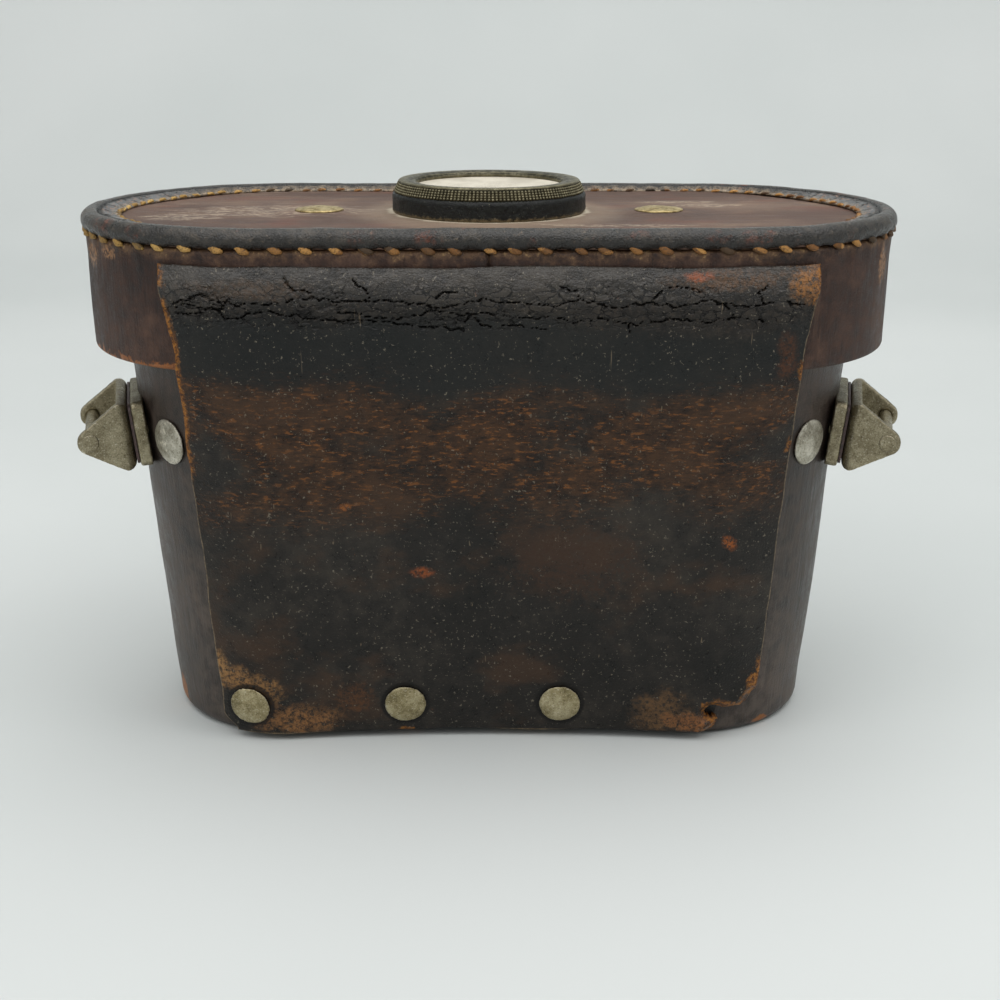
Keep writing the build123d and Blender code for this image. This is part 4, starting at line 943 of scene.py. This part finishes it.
# The deep cracks across the flexed part, as (x, z).
CRACKS = (
    ((-69.5, 112.4), (-66.5, 113.2), (-62.8, 114.5), (-60.5, 113.2), (-54.8, 112.2), (-52, 112.8),
     (-46, 112.6), (-42.5, 113.4), (-38.6, 113.9), (-34, 113.2), (-28.5, 113.3), (-21, 113.4),
     (-16, 112.6), (-12.4, 112), (-7.5, 112.2), (-4.5, 113.1), (-1.5, 113.6), (2, 112.6), (8, 112.7),
     (14, 112.2), (20, 113.6), (27, 112), (34, 112.9), (41, 111.8), (48, 113.2), (55, 111.9),
     (62, 112.8), (70, 111.8)),
    ((-33.6, 113.2), (-32.8, 110.8), (-29.5, 111.1), (-27, 110.2), (-24.5, 109.8), (-20, 109.7),
     (-15, 110), (-13, 111.2), (-9, 110.6), (-6.5, 110.1), (-2, 110.6), (2, 110.2), (7, 109.3),
     (13, 109.9), (19, 108.6), (25, 109.4), (32, 108.2), (40, 109.5), (47, 108.4), (54, 109.6),
     (60, 108.7)),
    ((-69, 109.8), (-65, 110.2), (-62, 110.6), (-61.5, 111.8), (-59, 111.2), (-57.5, 109), (-53, 110),
     (-48, 110.8), (-44, 110.3), (-39, 109.4), (-33, 109), (-26, 108.9), (-19, 108.2), (-12, 107.8),
     (-8, 106.9), (-5.6, 106.7), (-5, 108.6), (-4.4, 110.2), (-1, 107.6), (6, 107.9), (12, 107)),
    ((-69, 111.4), (-66, 112.2), (-63.5, 111.6), (-60.5, 111), (-58, 111.8), (-56.5, 113)),
    ((-45, 117.8), (-43, 116.2), (-41.2, 115.4), (-39, 114.8)),
    ((-31, 117.9), (-28, 116.4), (-26.6, 115.9), (-26.2, 114.2), (-27, 113.3)),
    ((30, 109), (30.6, 106.6), (30.2, 104.6)),
    ((-11.5, 113.9), (-10.2, 115), (-6, 115.4)),
    ((36, 112.8), (37, 115.2), (41, 116), (46, 115.4)),
    ((20, 113.5), (19, 115.5), (15, 116.2)),
    ((51, 112.6), (53, 110.4), (52, 108.9)),
    ((60, 112.8), (58.6, 114.8), (60.5, 116.4)))


def panel_half(height):
    """Half the panel's width."""
    share = (height - PANEL_LOW) / (PANEL_HIGH - PANEL_LOW)
    return PANEL_LOW_HALF + (PANEL_HIGH_HALF - PANEL_LOW_HALF) * share


def line_distance(x, z, points):
    """Distance from (x, z) to a broken line."""
    nearest = 1e9
    for (ax, az), (bx, bz) in zip(points, points[1:]):
        run = (bx - ax) ** 2 + (bz - az) ** 2
        along = max(0, min(1, ((x - ax) * (bx - ax) + (z - az) * (bz - az)) / run))
        nearest = min(nearest, math.hypot(x - ax - along * (bx - ax), z - az - along * (bz - az)))
    return nearest


def crack_depth(x, z):
    """Depth share of the flex cracks at a point; they wander, swell and thin out along their way."""
    wander_x = swell((x, 3, z), 2.2, 3) * 0.9 + swell((x, 3, z), 0.8, 5) * 0.2
    wander_z = swell((x, 7, z), 1.8, 4) * 0.65 + swell((x, 7, z), 0.7, 6) * 0.2
    deep = min(line_distance(x + wander_x, z + wander_z, crack) for crack in CRACKS)
    present = ease(-0.5, 0.1, swell((x, 5, z), 11, 17) + ease(20, -20, x) * 0.4)
    width = (0.19 + 0.24 * swell((x, 0, z), 4, 14)) * present
    short = Vector(((x + 3 * wander_x) / 6.2, 0, (z + 2 * wander_z) / 2.1))
    near, _ = noise.voronoi(short, distance_metric="DISTANCE")
    fine = ease(0.1, 0.02, near[1] - near[0]) * ease(-0.1, 0.25, swell((x, 0, z), 9, 15)) * 0.4
    return max(ease(max(width, 0.12), 0.02, deep), fine * ease(117, 115.5, z) * ease(105, 108, z))


def tear_distance(x, z):
    """Distance to the torn outline, negative inside it."""
    x, z = x - EMPTY_HOLE[0], z - EMPTY_HOLE[1]
    inside = False
    for (ax, az), (bx, bz) in zip(TEAR, TEAR[1:] + TEAR[:1]):
        if (az > z) != (bz > z) and x < (bx - ax) * (z - az) / (bz - az) + ax:
            inside = not inside
    nearest = line_distance(x, z, TEAR + TEAR[:1])
    return -nearest if inside else nearest


def panel_height(share):
    """Height of a row of the panel's mesh."""
    row = share * sum(count for count, _ in PANEL_ROWS)
    low = PANEL_HEM
    for count, high in PANEL_ROWS:
        if row <= count:
            return low + (high - low) * row / count
        row -= count
        low = high
    return PANEL_HIGH


def panel_spread(u, level):
    """x and height of a point of the panel, u from -1 to 1 across it, and the roughness of its cut edge."""
    rough = swell((u * 70, 0, level), 6, 5) * 0.5 + swell((u * 70, 0, level), 1.8, 6) * 0.2
    corner = ease(PANEL_HEM + 6, PANEL_HEM, level) ** 2 * 3 - ease(98, 117, level) * 2.6
    x = u * panel_half(level)
    x -= (1 if u > 0 else -1) * ease(0.9, 1, abs(u)) * (corner + 0.3 + rough * 0.9)
    hem = ease(PANEL_HEM + 6, PANEL_HEM, level) * (0.5 + swell((x, 0, 0), 22, 7) * 0.9)
    top_edge = ease(PANEL_HIGH - 4, PANEL_HIGH, level) * (0.45 + swell((x, 0, 0), 14, 8) * 0.5)
    return x, level + (hem - top_edge), rough


def in_torn_corner(vert):
    """Whether a vertex lies near enough to the torn corner to be cut off or frayed there."""
    return vert.co.x > 50 and vert.co.z < 16


def hinge_leather():
    """One sheet from below the rivets to under the rim, cracked where it flexed, its last corner torn off."""
    bm = bmesh.new()
    rest = bm.verts.layers.float_vector.new("rest_place")
    cut = bm.verts.layers.float.new("edge_near")
    crack = bm.verts.layers.float.new("crack")
    row_count = sum(count for count, _ in PANEL_ROWS)
    bmesh.ops.create_grid(bm, x_segments=PANEL_COLUMNS, y_segments=row_count, size=1)
    for vert in bm.verts:
        u, level = vert.co.x, panel_height((vert.co.y + 1) / 2)
        x, z, rough = panel_spread(u, level)
        form = PANEL_UPPER if z > SKIRT_FOOT else PANEL_LOWER
        inward = max(z - PANEL_SHOULDER, 0) ** 2 * 0.036
        flexed = ease(103.8, 106.5, z + swell((x, 0, z), 12, 9) * 2) * ease(119.6, 118, z)
        depth = crack_depth(x, z) * flexed if flexed else 0
        rolls = (swell((x / 2.6, 0, z), 2.6, 10) * 0.22 + swell((x, 0, z), 1.3, 16) * 0.08) * flexed
        calm = min(math.hypot(x - rx, z - rz) for rx, rz in PANEL_RIVETS)
        soft = (swell((x, 0, z), 34, 11) * 0.6 + swell((x, 0, z), 11, 12) * 0.16) * ease(5, 14, calm)
        soft *= ease(0, 8, z - PANEL_HEM)
        torn = tear_distance(x + rough * 0.5, z + rough * 0.3) if x > 38 and z < 24 else FAR
        curl = ease(5.5, 2.6, torn) * 0.6 - ease(2.6, 0.2, torn) * 1.9
        vert[rest] = Vector((x, -wall_y(form, x, z), z)) * MM
        vert[crack] = depth
        vert.co = (x, -wall_y(form, x, z) - soft - rolls - curl + inward + depth * 0.65, z)
        sides = (1 - abs(u)) * panel_half(level)
        top = (PANEL_HIGH - z) * 1.4 + 0.9 + 2 * swell((x, 0, 0), 9, 2)
        vert[cut] = min(sides, z - PANEL_HEM - 0.2, top, torn)
    gone = [face for face in bm.faces
            if sum(vert[cut] < 0 and in_torn_corner(vert) for vert in face.verts) >= 2]
    bmesh.ops.delete(bm, geom=gone, context="FACES")
    frayed = [vert for vert in bm.verts if vert.is_boundary and in_torn_corner(vert)]
    for _ in range(3):
        bmesh.ops.smooth_vert(bm, verts=frayed, factor=0.5, use_axis_x=True, use_axis_y=True, use_axis_z=True)
    bmesh.ops.recalc_face_normals(bm, faces=bm.faces)
    if sum(face.normal.y for face in bm.faces) > 0:
        bmesh.ops.reverse_faces(bm, faces=bm.faces)
    bm.normal_update()
    bmesh.ops.solidify(bm, geom=list(bm.faces), thickness=PANEL - 0.1)
    piece = finish_mesh(bm, "hinge_leather", PANEL_LEATHER, None,
                        ("hinge_panel", "hinge_panel_lid_run"))
    crease = SKIRT_FOOT * MM
    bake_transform(piece, "case", "lid", start=(0, HINGE_Y * MM, crease - 0.005),
             end=(0, HINGE_Y * MM, crease + 0.005))
    return piece


# ---------------------------------------------------------------- lid
RIM_PITCH = 6.6             # between the stitches of the lower row
TOP_PITCH = 4.9             # between the stitches of the upper row


def rim_reach(turn):
    """How far in the rim's inner slope comes: wider round the two ends, where the leather is gathered."""
    place = oval_point(SKIRT_HEAD_PLAN, 0, turn)
    return 4.7 + 3.2 * ease(72, 90, abs(place.x))


def skirt_wall():
    """Skirt of the lid, grooved at its butt seam behind, with a soft cut lower edge."""
    outline = arc(0.9, SKIRT_FOOT + 0.9, 0.9, -90, 0, 3)
    outline += [(0, z) for z in steps(SKIRT_FOOT + 0.9, 122.6, 34)[1:]]
    outline += [(0.15, 123.2), (0.6, 123.6), (1.6, 123.9), (SKIRT, SKIRT_HEAD)]
    outline += [(SKIRT, z) for z in (SKIRT_HEAD - 8, SKIRT_FOOT + 8)]
    outline += arc(SKIRT - 0.5, SKIRT_FOOT + 0.5, 0.5, 180, 270, 2)
    bm = ring_wall([(SKIRT_FORM, inset, height) for inset, height in outline])

    def creased(point, turn):
        soft = swell(point, 30, 21) * 0.4
        upright = swell((point.x, point.y, point.z / 5), 5, 22) * 0.16
        pulled = 0
        if point.z > 117:
            share = distance_at(SKIRT_HEAD_PLAN, turn) / RIM_PITCH
            pulled = 0.22 * math.cos(math.tau * share) * ease(117, 122.5, point.z)
        seam = -1.6 * ease(0.75, 0.2, abs(point.x)) if point.y < 0 else 0
        return (soft + upright) * ease(96, 100, point.z) * ease(124, 121, point.z) + pulled + seam
    emboss(bm, creased)
    return finish_mesh(bm, "leather_skirt", SKIRT_LEATHER, "lid", ("lid_skirt",))


def top_sheet():
    """Flat hide of the lid: dished a little, running under the rim, level round its bore and its rivets."""
    rim = [(0.4, SKIRT_HEAD), (0.0, SKIRT_HEAD + 0.4), (0.0, LID_FACE - 0.4), (0.4, LID_FACE)]
    bm = ring_wall([(RIM_FORM, inset, height) for inset, height in rim], closed=False)
    turn = bm.verts.layers.float.get("turn")
    for height, closeness in ((LID_FACE, 34), (SKIRT_HEAD, 1)):
        edges = [e for e in bm.edges if e.is_boundary and abs(e.verts[0].co.z - height) < 0.01]
        for share in steps(0, 1, closeness)[1:]:
            made = bmesh.ops.extrude_edge_only(bm, edges=edges)["geom"]
            edges = [item for item in made if isinstance(item, bmesh.types.BMEdge)]
            for vert in {vert for edge in edges for vert in edge.verts}:
                outer = oval_point(SKIRT_HEAD_PLAN, 0.4, vert[turn])
                angle = math.atan2(outer.y, outer.x)
                inner = Vector((BARREL * math.cos(angle), BARREL * math.sin(angle), 0))
                vert.co = outer.lerp(inner, share)
                vert.co.z = height
    rims = [e for e in bm.edges if e.is_boundary]
    bmesh.ops.bridge_loops(bm, edges=rims)
    bmesh.ops.recalc_face_normals(bm, faces=bm.faces)
    for vert in bm.verts:
        if vert.co.z > LID_FACE - 0.1:
            away = vert.co.xy.length
            rivet = min(math.hypot(vert.co.x - side * LID_RIVET_X, vert.co.y) for side in (-1, 1))
            calm = ease(24, 32, away) * ease(6.5, 12, rivet)
            to_end, to_side = SKIRT_HEAD_PLAN[0] - abs(vert.co.x), SKIRT_HEAD_PLAN[1] - abs(vert.co.y)
            edge = ease(0, 14, to_side) * ease(0, 14, to_end)
            vert.co.z += calm * (edge * -0.55 + swell(vert.co, 26, 31) * 0.3 + swell(vert.co, 7, 32) * 0.07)
    return finish_mesh(bm, "leather_top", TOP_LEATHER, "lid", ("lid_top",))


def rim_roll():
    """Binding: a rolled bead outside, a sewn seam on its crest and a slope, gathered at the ends, inside."""
    bead = arc(1.4, 126.0, 2.4, -58, 90, 14)
    crest = [(2.2, 128.38), (2.7, 128.2), (3.0, 127.8), (3.15, 127.4), (3.3, 127.7), (3.6, 128.0)]
    rings = [(RIM_FORM, inset, height) for inset, height in bead + crest]
    for share in steps(0, 1, 6)[1:]:
        rings.append((RIM_FORM, (lambda turn, s=share: 3.6 + (rim_reach(turn) - 3.6) * s),
                      128.0 - 1.0 * ease(0, 1, share)))
    rings.append((RIM_FORM, (lambda turn: rim_reach(turn) + 0.35), 126.75))
    rings.append((RIM_FORM, (lambda turn: rim_reach(turn) + 0.1), 126.3))
    rings += [(RIM_FORM, 2.4, 126.3), (RIM_FORM, 1.4, 124.0)]
    bm = ring_wall(rings)
    inner = bm.verts.layers.float.new("inner_edge")
    seam = bm.verts.layers.float.new("seam")

    def gathered(point, turn):
        distance = distance_at(SKIRT_HEAD_PLAN, turn)
        flat = oval_point(SKIRT_HEAD_PLAN, 0, turn)
        inset = (flat.xy - point.xy).length
        ends = ease(78, 92, abs(flat.x))
        lumps = swell(point, 9, 41) * 0.16 + swell(point, 3, 42) * 0.07
        folds = math.sin(math.tau * distance / 2.3 + 2.4 * swell(point, 7, 43)) * 0.34
        slope = ease(3.3, 4.2, inset) * ease(rim_reach(turn) + 0.4, rim_reach(turn) - 0.6, inset)
        scallop = 0.24 * math.cos(math.tau * distance / RIM_PITCH) * ease(126.2, 124.6, point.z)
        sewn = 0.2 * math.cos(math.tau * distance / TOP_PITCH) * slope
        return lumps + folds * slope * ends + (scallop if inset < 2 else 0) + sewn * (1 - ends)
    emboss(bm, gathered)
    turn = bm.verts.layers.float.get("turn")
    for vert in bm.verts:
        flat = oval_point(SKIRT_HEAD_PLAN, 0, vert[turn])
        inset = (flat.xy - vert.co.xy).length
        vert[inner] = inset / (rim_reach(vert[turn]) + 0.2)
        vert[seam] = ease(0.75, 0.2, abs(inset - 3.2)) * ease(127, 127.5, vert.co.z)
    return finish_mesh(bm, "leather_rim", RIM_LEATHER, "lid", ("lid_rim_binding",))


def stitch_row(name, pitch, inset, height, length, slant, lean, stout):
    """Row of hand stitches round the lid: twisted, swollen in the middle and pulled down into the leather.

    slant turns each stitch across its row, and lean tips its face from outwards to upwards, in radians.
    """
    rng = random.Random(name)
    uneven = 0.12
    end, side = quarter_lengths(SKIRT_HEAD_PLAN)
    girth = 2 * (end + side)
    count = round(girth / pitch)
    bm = bmesh.new()
    for i in range(count):
        turn = turn_at(SKIRT_HEAD_PLAN, (i + uneven * rng.uniform(-1, 1)) % count * girth / count)
        reach = inset(turn) if callable(inset) else inset
        here = oval_point(SKIRT_HEAD_PLAN, reach, turn)
        ahead = oval_point(SKIRT_HEAD_PLAN, reach, (turn + 0.01) % 4) - here
        run = ahead.normalized()
        out = run.cross(Vector((0, 0, 1)))
        out = (out * math.cos(lean) + Vector((0, 0, 1)) * math.sin(lean)).normalized()
        across = out.cross(run)
        tilt = Matrix.Rotation(slant + rng.uniform(-uneven, uneven), 4, "Z")
        place = Matrix((run, across, out)).transposed().to_4x4() @ tilt
        place.translation = here + Vector((0, 0, height + rng.uniform(-uneven, uneven)))
        thick = stout * rng.uniform(0.9, 1.12)
        ball = bmesh.ops.create_uvsphere(bm, u_segments=8, v_segments=7, radius=1)
        for vert in ball["verts"]:
            along, round_a = vert.co.z, math.atan2(vert.co.y, vert.co.x)
            wide = math.hypot(vert.co.x, vert.co.y) ** 0.8 * (1 + 0.2 * math.cos(2 * round_a + 4.2 * along))
            local = Vector((along * length / 2, wide * math.cos(round_a) * 0.8 * thick,
                            wide * math.sin(round_a) * 0.6 * thick - along ** 2 * 0.4))
            vert.co = place @ local
    bmesh.ops.recalc_face_normals(bm, faces=bm.faces)
    return finish_mesh(bm, name, THREAD, "lid")


# ---------------------------------------------------------------- compass
def painted_case():
    """Enamelled compass case: its band above the lid and the barrel through it."""
    foot, head = LID_FACE, COMPASS_TOP
    bore, barrel, ring = 17.7, 20.9, 15.5       # radii over the dial, of the barrel and under the dial
    seat, end = 123.0, 117.7                    # heights of the dial's seat and of the barrel's end
    profile = [(bore, seat), (bore, head), (COMPASS - 0.5, head), (COMPASS - 0.1, head - 0.4)]
    profile += [(COMPASS, z) for z in steps(head - 1, foot + 0.5, 6)]
    profile += [(COMPASS - 0.4, foot), (barrel, foot), (barrel, end + 0.5), (barrel - 0.5, end)]
    profile += [(ring, end), (ring, seat)]
    bm = turned(profile, 160)
    emboss(bm, lambda point, _: (swell(point, 1.3, 51) * 0.11 + swell(point, 4, 52) * 0.08)
           * ease(22, 23, point.xy.length))
    return finish_mesh(bm, "enamelled_case", ENAMEL, "lid", ("compass_case",))


def knurled_bezel():
    """Screwed ring over the crystal: four rows of beads on its cone, a broad flat top, a sunk inner lip."""
    low, high = COMPASS_TOP, BEZEL_TOP
    cone = [(BEZEL_FOOT - 0.35, low), (BEZEL_CROWN - 0.35, high - 0.55), (BEZEL_CROWN - 0.15, high - 0.25)]
    top = [(BEZEL_CROWN - 0.5, high), (19.6, high), (19.1, high - 0.15), (18.0, high - 0.3)]
    top += [(LIP + 0.25, high - 0.45), (LIP, high - 0.8), (LIP, CRYSTAL_TOP), (CRYSTAL + 0.1, CRYSTAL_TOP),
            (CRYSTAL + 0.1, low)]
    bm = turned(cone + top, 128)
    rows, beads = 4, 160
    for row in range(rows):
        share = (row + 0.5) / rows
        radius = BEZEL_FOOT - 0.3 + (BEZEL_CROWN - BEZEL_FOOT) * share
        height = low + 0.1 + (high - low - 0.75) * share
        for i in range(beads):
            angle = math.tau * i / beads
            place = Matrix.Translation((radius * math.cos(angle), radius * math.sin(angle), height))
            bmesh.ops.create_icosphere(bm, subdivisions=1, radius=0.4, matrix=place)
    return finish_mesh(bm, "knurled_bezel", BLACKING, "lid", ("compass_bezel",))


def dial_marks():
    """Printed ring of plain degree ticks on the card."""
    bm = bmesh.new()
    ticks, card_face = 72, 128.03
    for i in range(ticks):
        long = i % 6 == 0
        size = Matrix.Diagonal((2.4 if long else 1.2, 0.28 if long else 0.14, 0.03, 1))
        middle = Matrix.Translation((15.2 if long else 15.8, 0, card_face))
        place = Matrix.Rotation(math.tau * i / ticks, 4, "Z") @ middle @ size
        bmesh.ops.create_cube(bm, size=1, matrix=place)
    return finish_mesh(bm, "dial_ticks", BLUED, "lid")


# ---------------------------------------------------------------- reliefs of the worn copies
def pitted(point):
    """Relief of old nickel plate: soft lumps and small pits."""
    return swell(point, 2.2, 61) * 0.07 + swell(point, 0.8, 62) * 0.035


def crinkled(point):
    """Relief of a hammered rivet."""
    return swell(point, 3.0, 63) * 0.12 + swell(point, 0.9, 64) * 0.06


def strained(point):
    """Relief of handled strap leather."""
    return swell(point, 9, 65) * 0.08 + swell(point, 3, 66) * 0.03


def rubbed(point):
    """Relief of the closing stud, worn smaller where the tab's slot slides over it."""
    return swell(point, 2.2, 61) * 0.04 - 0.16


# ---------------------------------------------------------------- everything in its place
body_wall()
neck_wall()
felt_wall()
hinge_leather()
skirt_wall()
top_sheet()
rim_roll()
stitch_row("rim_stitches", RIM_PITCH, -0.35, 123.9, 3.6, -0.36, 0.1, 1.0)
stitch_row("top_stitches", TOP_PITCH, rim_reach, 127.0, 2.9, 0.12, math.pi / 2, 0.72)
painted_case()
knurled_bezel()
dial_marks()

base_felt = felt_disc("felt_pad", BODY_FORM, WALL + FELT, BASE_THICKNESS, BASE_THICKNESS + PAD, "case",
                      "base_pad")
lid_felt = felt_disc("felt_ceiling", SKIRT_FORM, SKIRT, LID_UNDER, SKIRT_HEAD, "lid", "lid_lining", BARREL)

for side in ("left", "right"):
    worn_copy(side + "_clevis", side + "_worn_clevis", NICKEL, 0.32, pitted, 3)
    worn_copy(side + "_strap_plate", side + "_worn_plate", NICKEL, 0.34, pitted, 2)
    worn_copy(side + "_strap_pin", side + "_worn_pin", NICKEL, 0.25, pitted, 1)
worn_copy("panel_rivets", "hammered_panel_rivets", RIVET_NICKEL, 0.32, crinkled, 2)
worn_copy("side_rivets", "hammered_side_rivets", BRIGHT_NICKEL, 0.32, crinkled, 2)
worn_copy("lid_rivets", "worn_lid_discs", BRASS, 0.32, crinkled, 2)
worn_copy("tab_rivets", "hammered_tab_rivets", NICKEL, 0.3, crinkled, 1)
worn_copy("closing_stud", "worn_closing_stud", BRASS, 0.25, rubbed, 2)
worn_copy("closing_tab", "worn_closing_tab", TAB_LEATHER, 0.3, strained, 1)
worn_copy("closing_tab_anchor", "worn_tab_anchor", TAB_LEATHER, 0.4, strained, 3)
worn_copy("base_panel", "worn_base", CASE_LEATHER, 0.8, strained, 2)

SLOT_MATERIALS = {
    "case_leather": CASE_LEATHER, "lid_leather": SKIRT_LEATHER, "lid_top_leather": TOP_LEATHER,
    "rim_leather": RIM_LEATHER, "panel_leather": INNER_LEATHER, "inner_leather": INNER_LEATHER,
    "felt": WOOL_FELT, "nickel": NICKEL, "band_steel": STEEL, "fibre": FIBRE, "brass": BRASS,
    "black_paint": ENAMEL, "bezel_metal": BLACKING, "crystal": GLASS, "dial": CARD}
for part in frame["record"]["subparts"]:
    node = nodes[part["node"]]
    for held in node.material_slots:
        held.material = SLOT_MATERIALS[part["material_slot"]]


# ---------------------------------------------------------------- floor, lights and camera
def pale_sweep():
    """Matt grey-white paper: a floor that curves up far behind the case."""
    material, tree, shader = new_material("matt_paper_sweep", Specular_IOR_Level=0.2)
    place = add(tree, "TexCoord").outputs["Object"]
    tone = fractal(tree, place, 400, 3, 0.5)
    colour = layer(tree, "#c7cbc9", "#d0d3d1", tone, 0.3, 0.7)
    surface(tree, shader, colour, (tone, 0.6, 0.7), [(tone, 0.01)])
    # In millimetres: how far the floor reaches, where it starts to curve up, its radius there, and above.
    reach, behind, radius, tall = 3000, 600, 500, 2500
    bm = bmesh.new()
    bmesh.ops.create_grid(bm, x_segments=2, y_segments=2, size=reach)
    back = [e for e in bm.edges if all(v.co.y > reach - 1 for v in e.verts)]
    bmesh.ops.translate(bm, vec=(0, behind - reach, 0), verts=list({v for e in back for v in e.verts}))
    for angle in steps(0, 90, 12)[1:]:
        made = bmesh.ops.extrude_edge_only(bm, edges=back)["geom"]
        back = [item for item in made if isinstance(item, bmesh.types.BMEdge)]
        bend = math.radians(angle)
        for vert in {v for e in back for v in e.verts}:
            vert.co.y = behind + radius * math.sin(bend)
            vert.co.z = radius - radius * math.cos(bend)
    made = bmesh.ops.extrude_edge_only(bm, edges=back)["geom"]
    bmesh.ops.translate(bm, vec=(0, 0, tall), verts=[v for v in made if isinstance(v, bmesh.types.BMVert)])
    floor = finish_mesh(bm, "pale_sweep", material)


def softbox(name, place, aim, size, power):
    """Large square white light: place, aim and side in metres, power in watts."""
    data = bpy.data.lights.new(name, "AREA")
    data.shape = "SQUARE"
    data.size = size
    data.energy = power
    lamp = bpy.data.objects.new(name, data)
    lamp.location = place
    lamp.rotation_euler = (Vector(aim) - Vector(place)).to_track_quat("-Z", "Y").to_euler()
    bpy.context.scene.collection.objects.link(lamp)


def pale_room():
    """Faint even light from all round."""
    world = bpy.data.worlds.new("room")
    world.use_nodes = True
    glow = world.node_tree.nodes["Background"]
    glow.inputs["Color"].default_value = linear("#eef2f4")
    glow.inputs["Strength"].default_value = 0.33
    bpy.context.scene.world = world


def photographer_camera():
    """Camera at the photograph's distance, height and tilt."""
    back, up, tilt = 0.371, 0.173, 18.05        # metres, metres, and degrees down
    data = bpy.data.cameras.new("camera")
    data.sensor_width = 36
    data.lens = 54
    data.shift_x = 0.011
    data.clip_start = 0.01
    camera = bpy.data.objects.new("camera", data)
    camera.location = (0, -back, up)
    camera.rotation_euler = (math.radians(90 - tilt), 0, 0)
    bpy.context.scene.collection.objects.link(camera)
    bpy.context.scene.camera = camera


pale_sweep()
pale_room()
softbox("overhead", (0.1, -0.15, 1.25), (0, 0, 0.05), 1.9, 22)
softbox("window", (-0.9, -0.8, 0.8), (0, 0, 0.06), 0.9, 4)
softbox("far_window", (1.0, -0.4, 0.7), (0, 0, 0.06), 0.7, 1.8)
bpy.context.scene.view_settings.view_transform = "Standard"
photographer_camera()
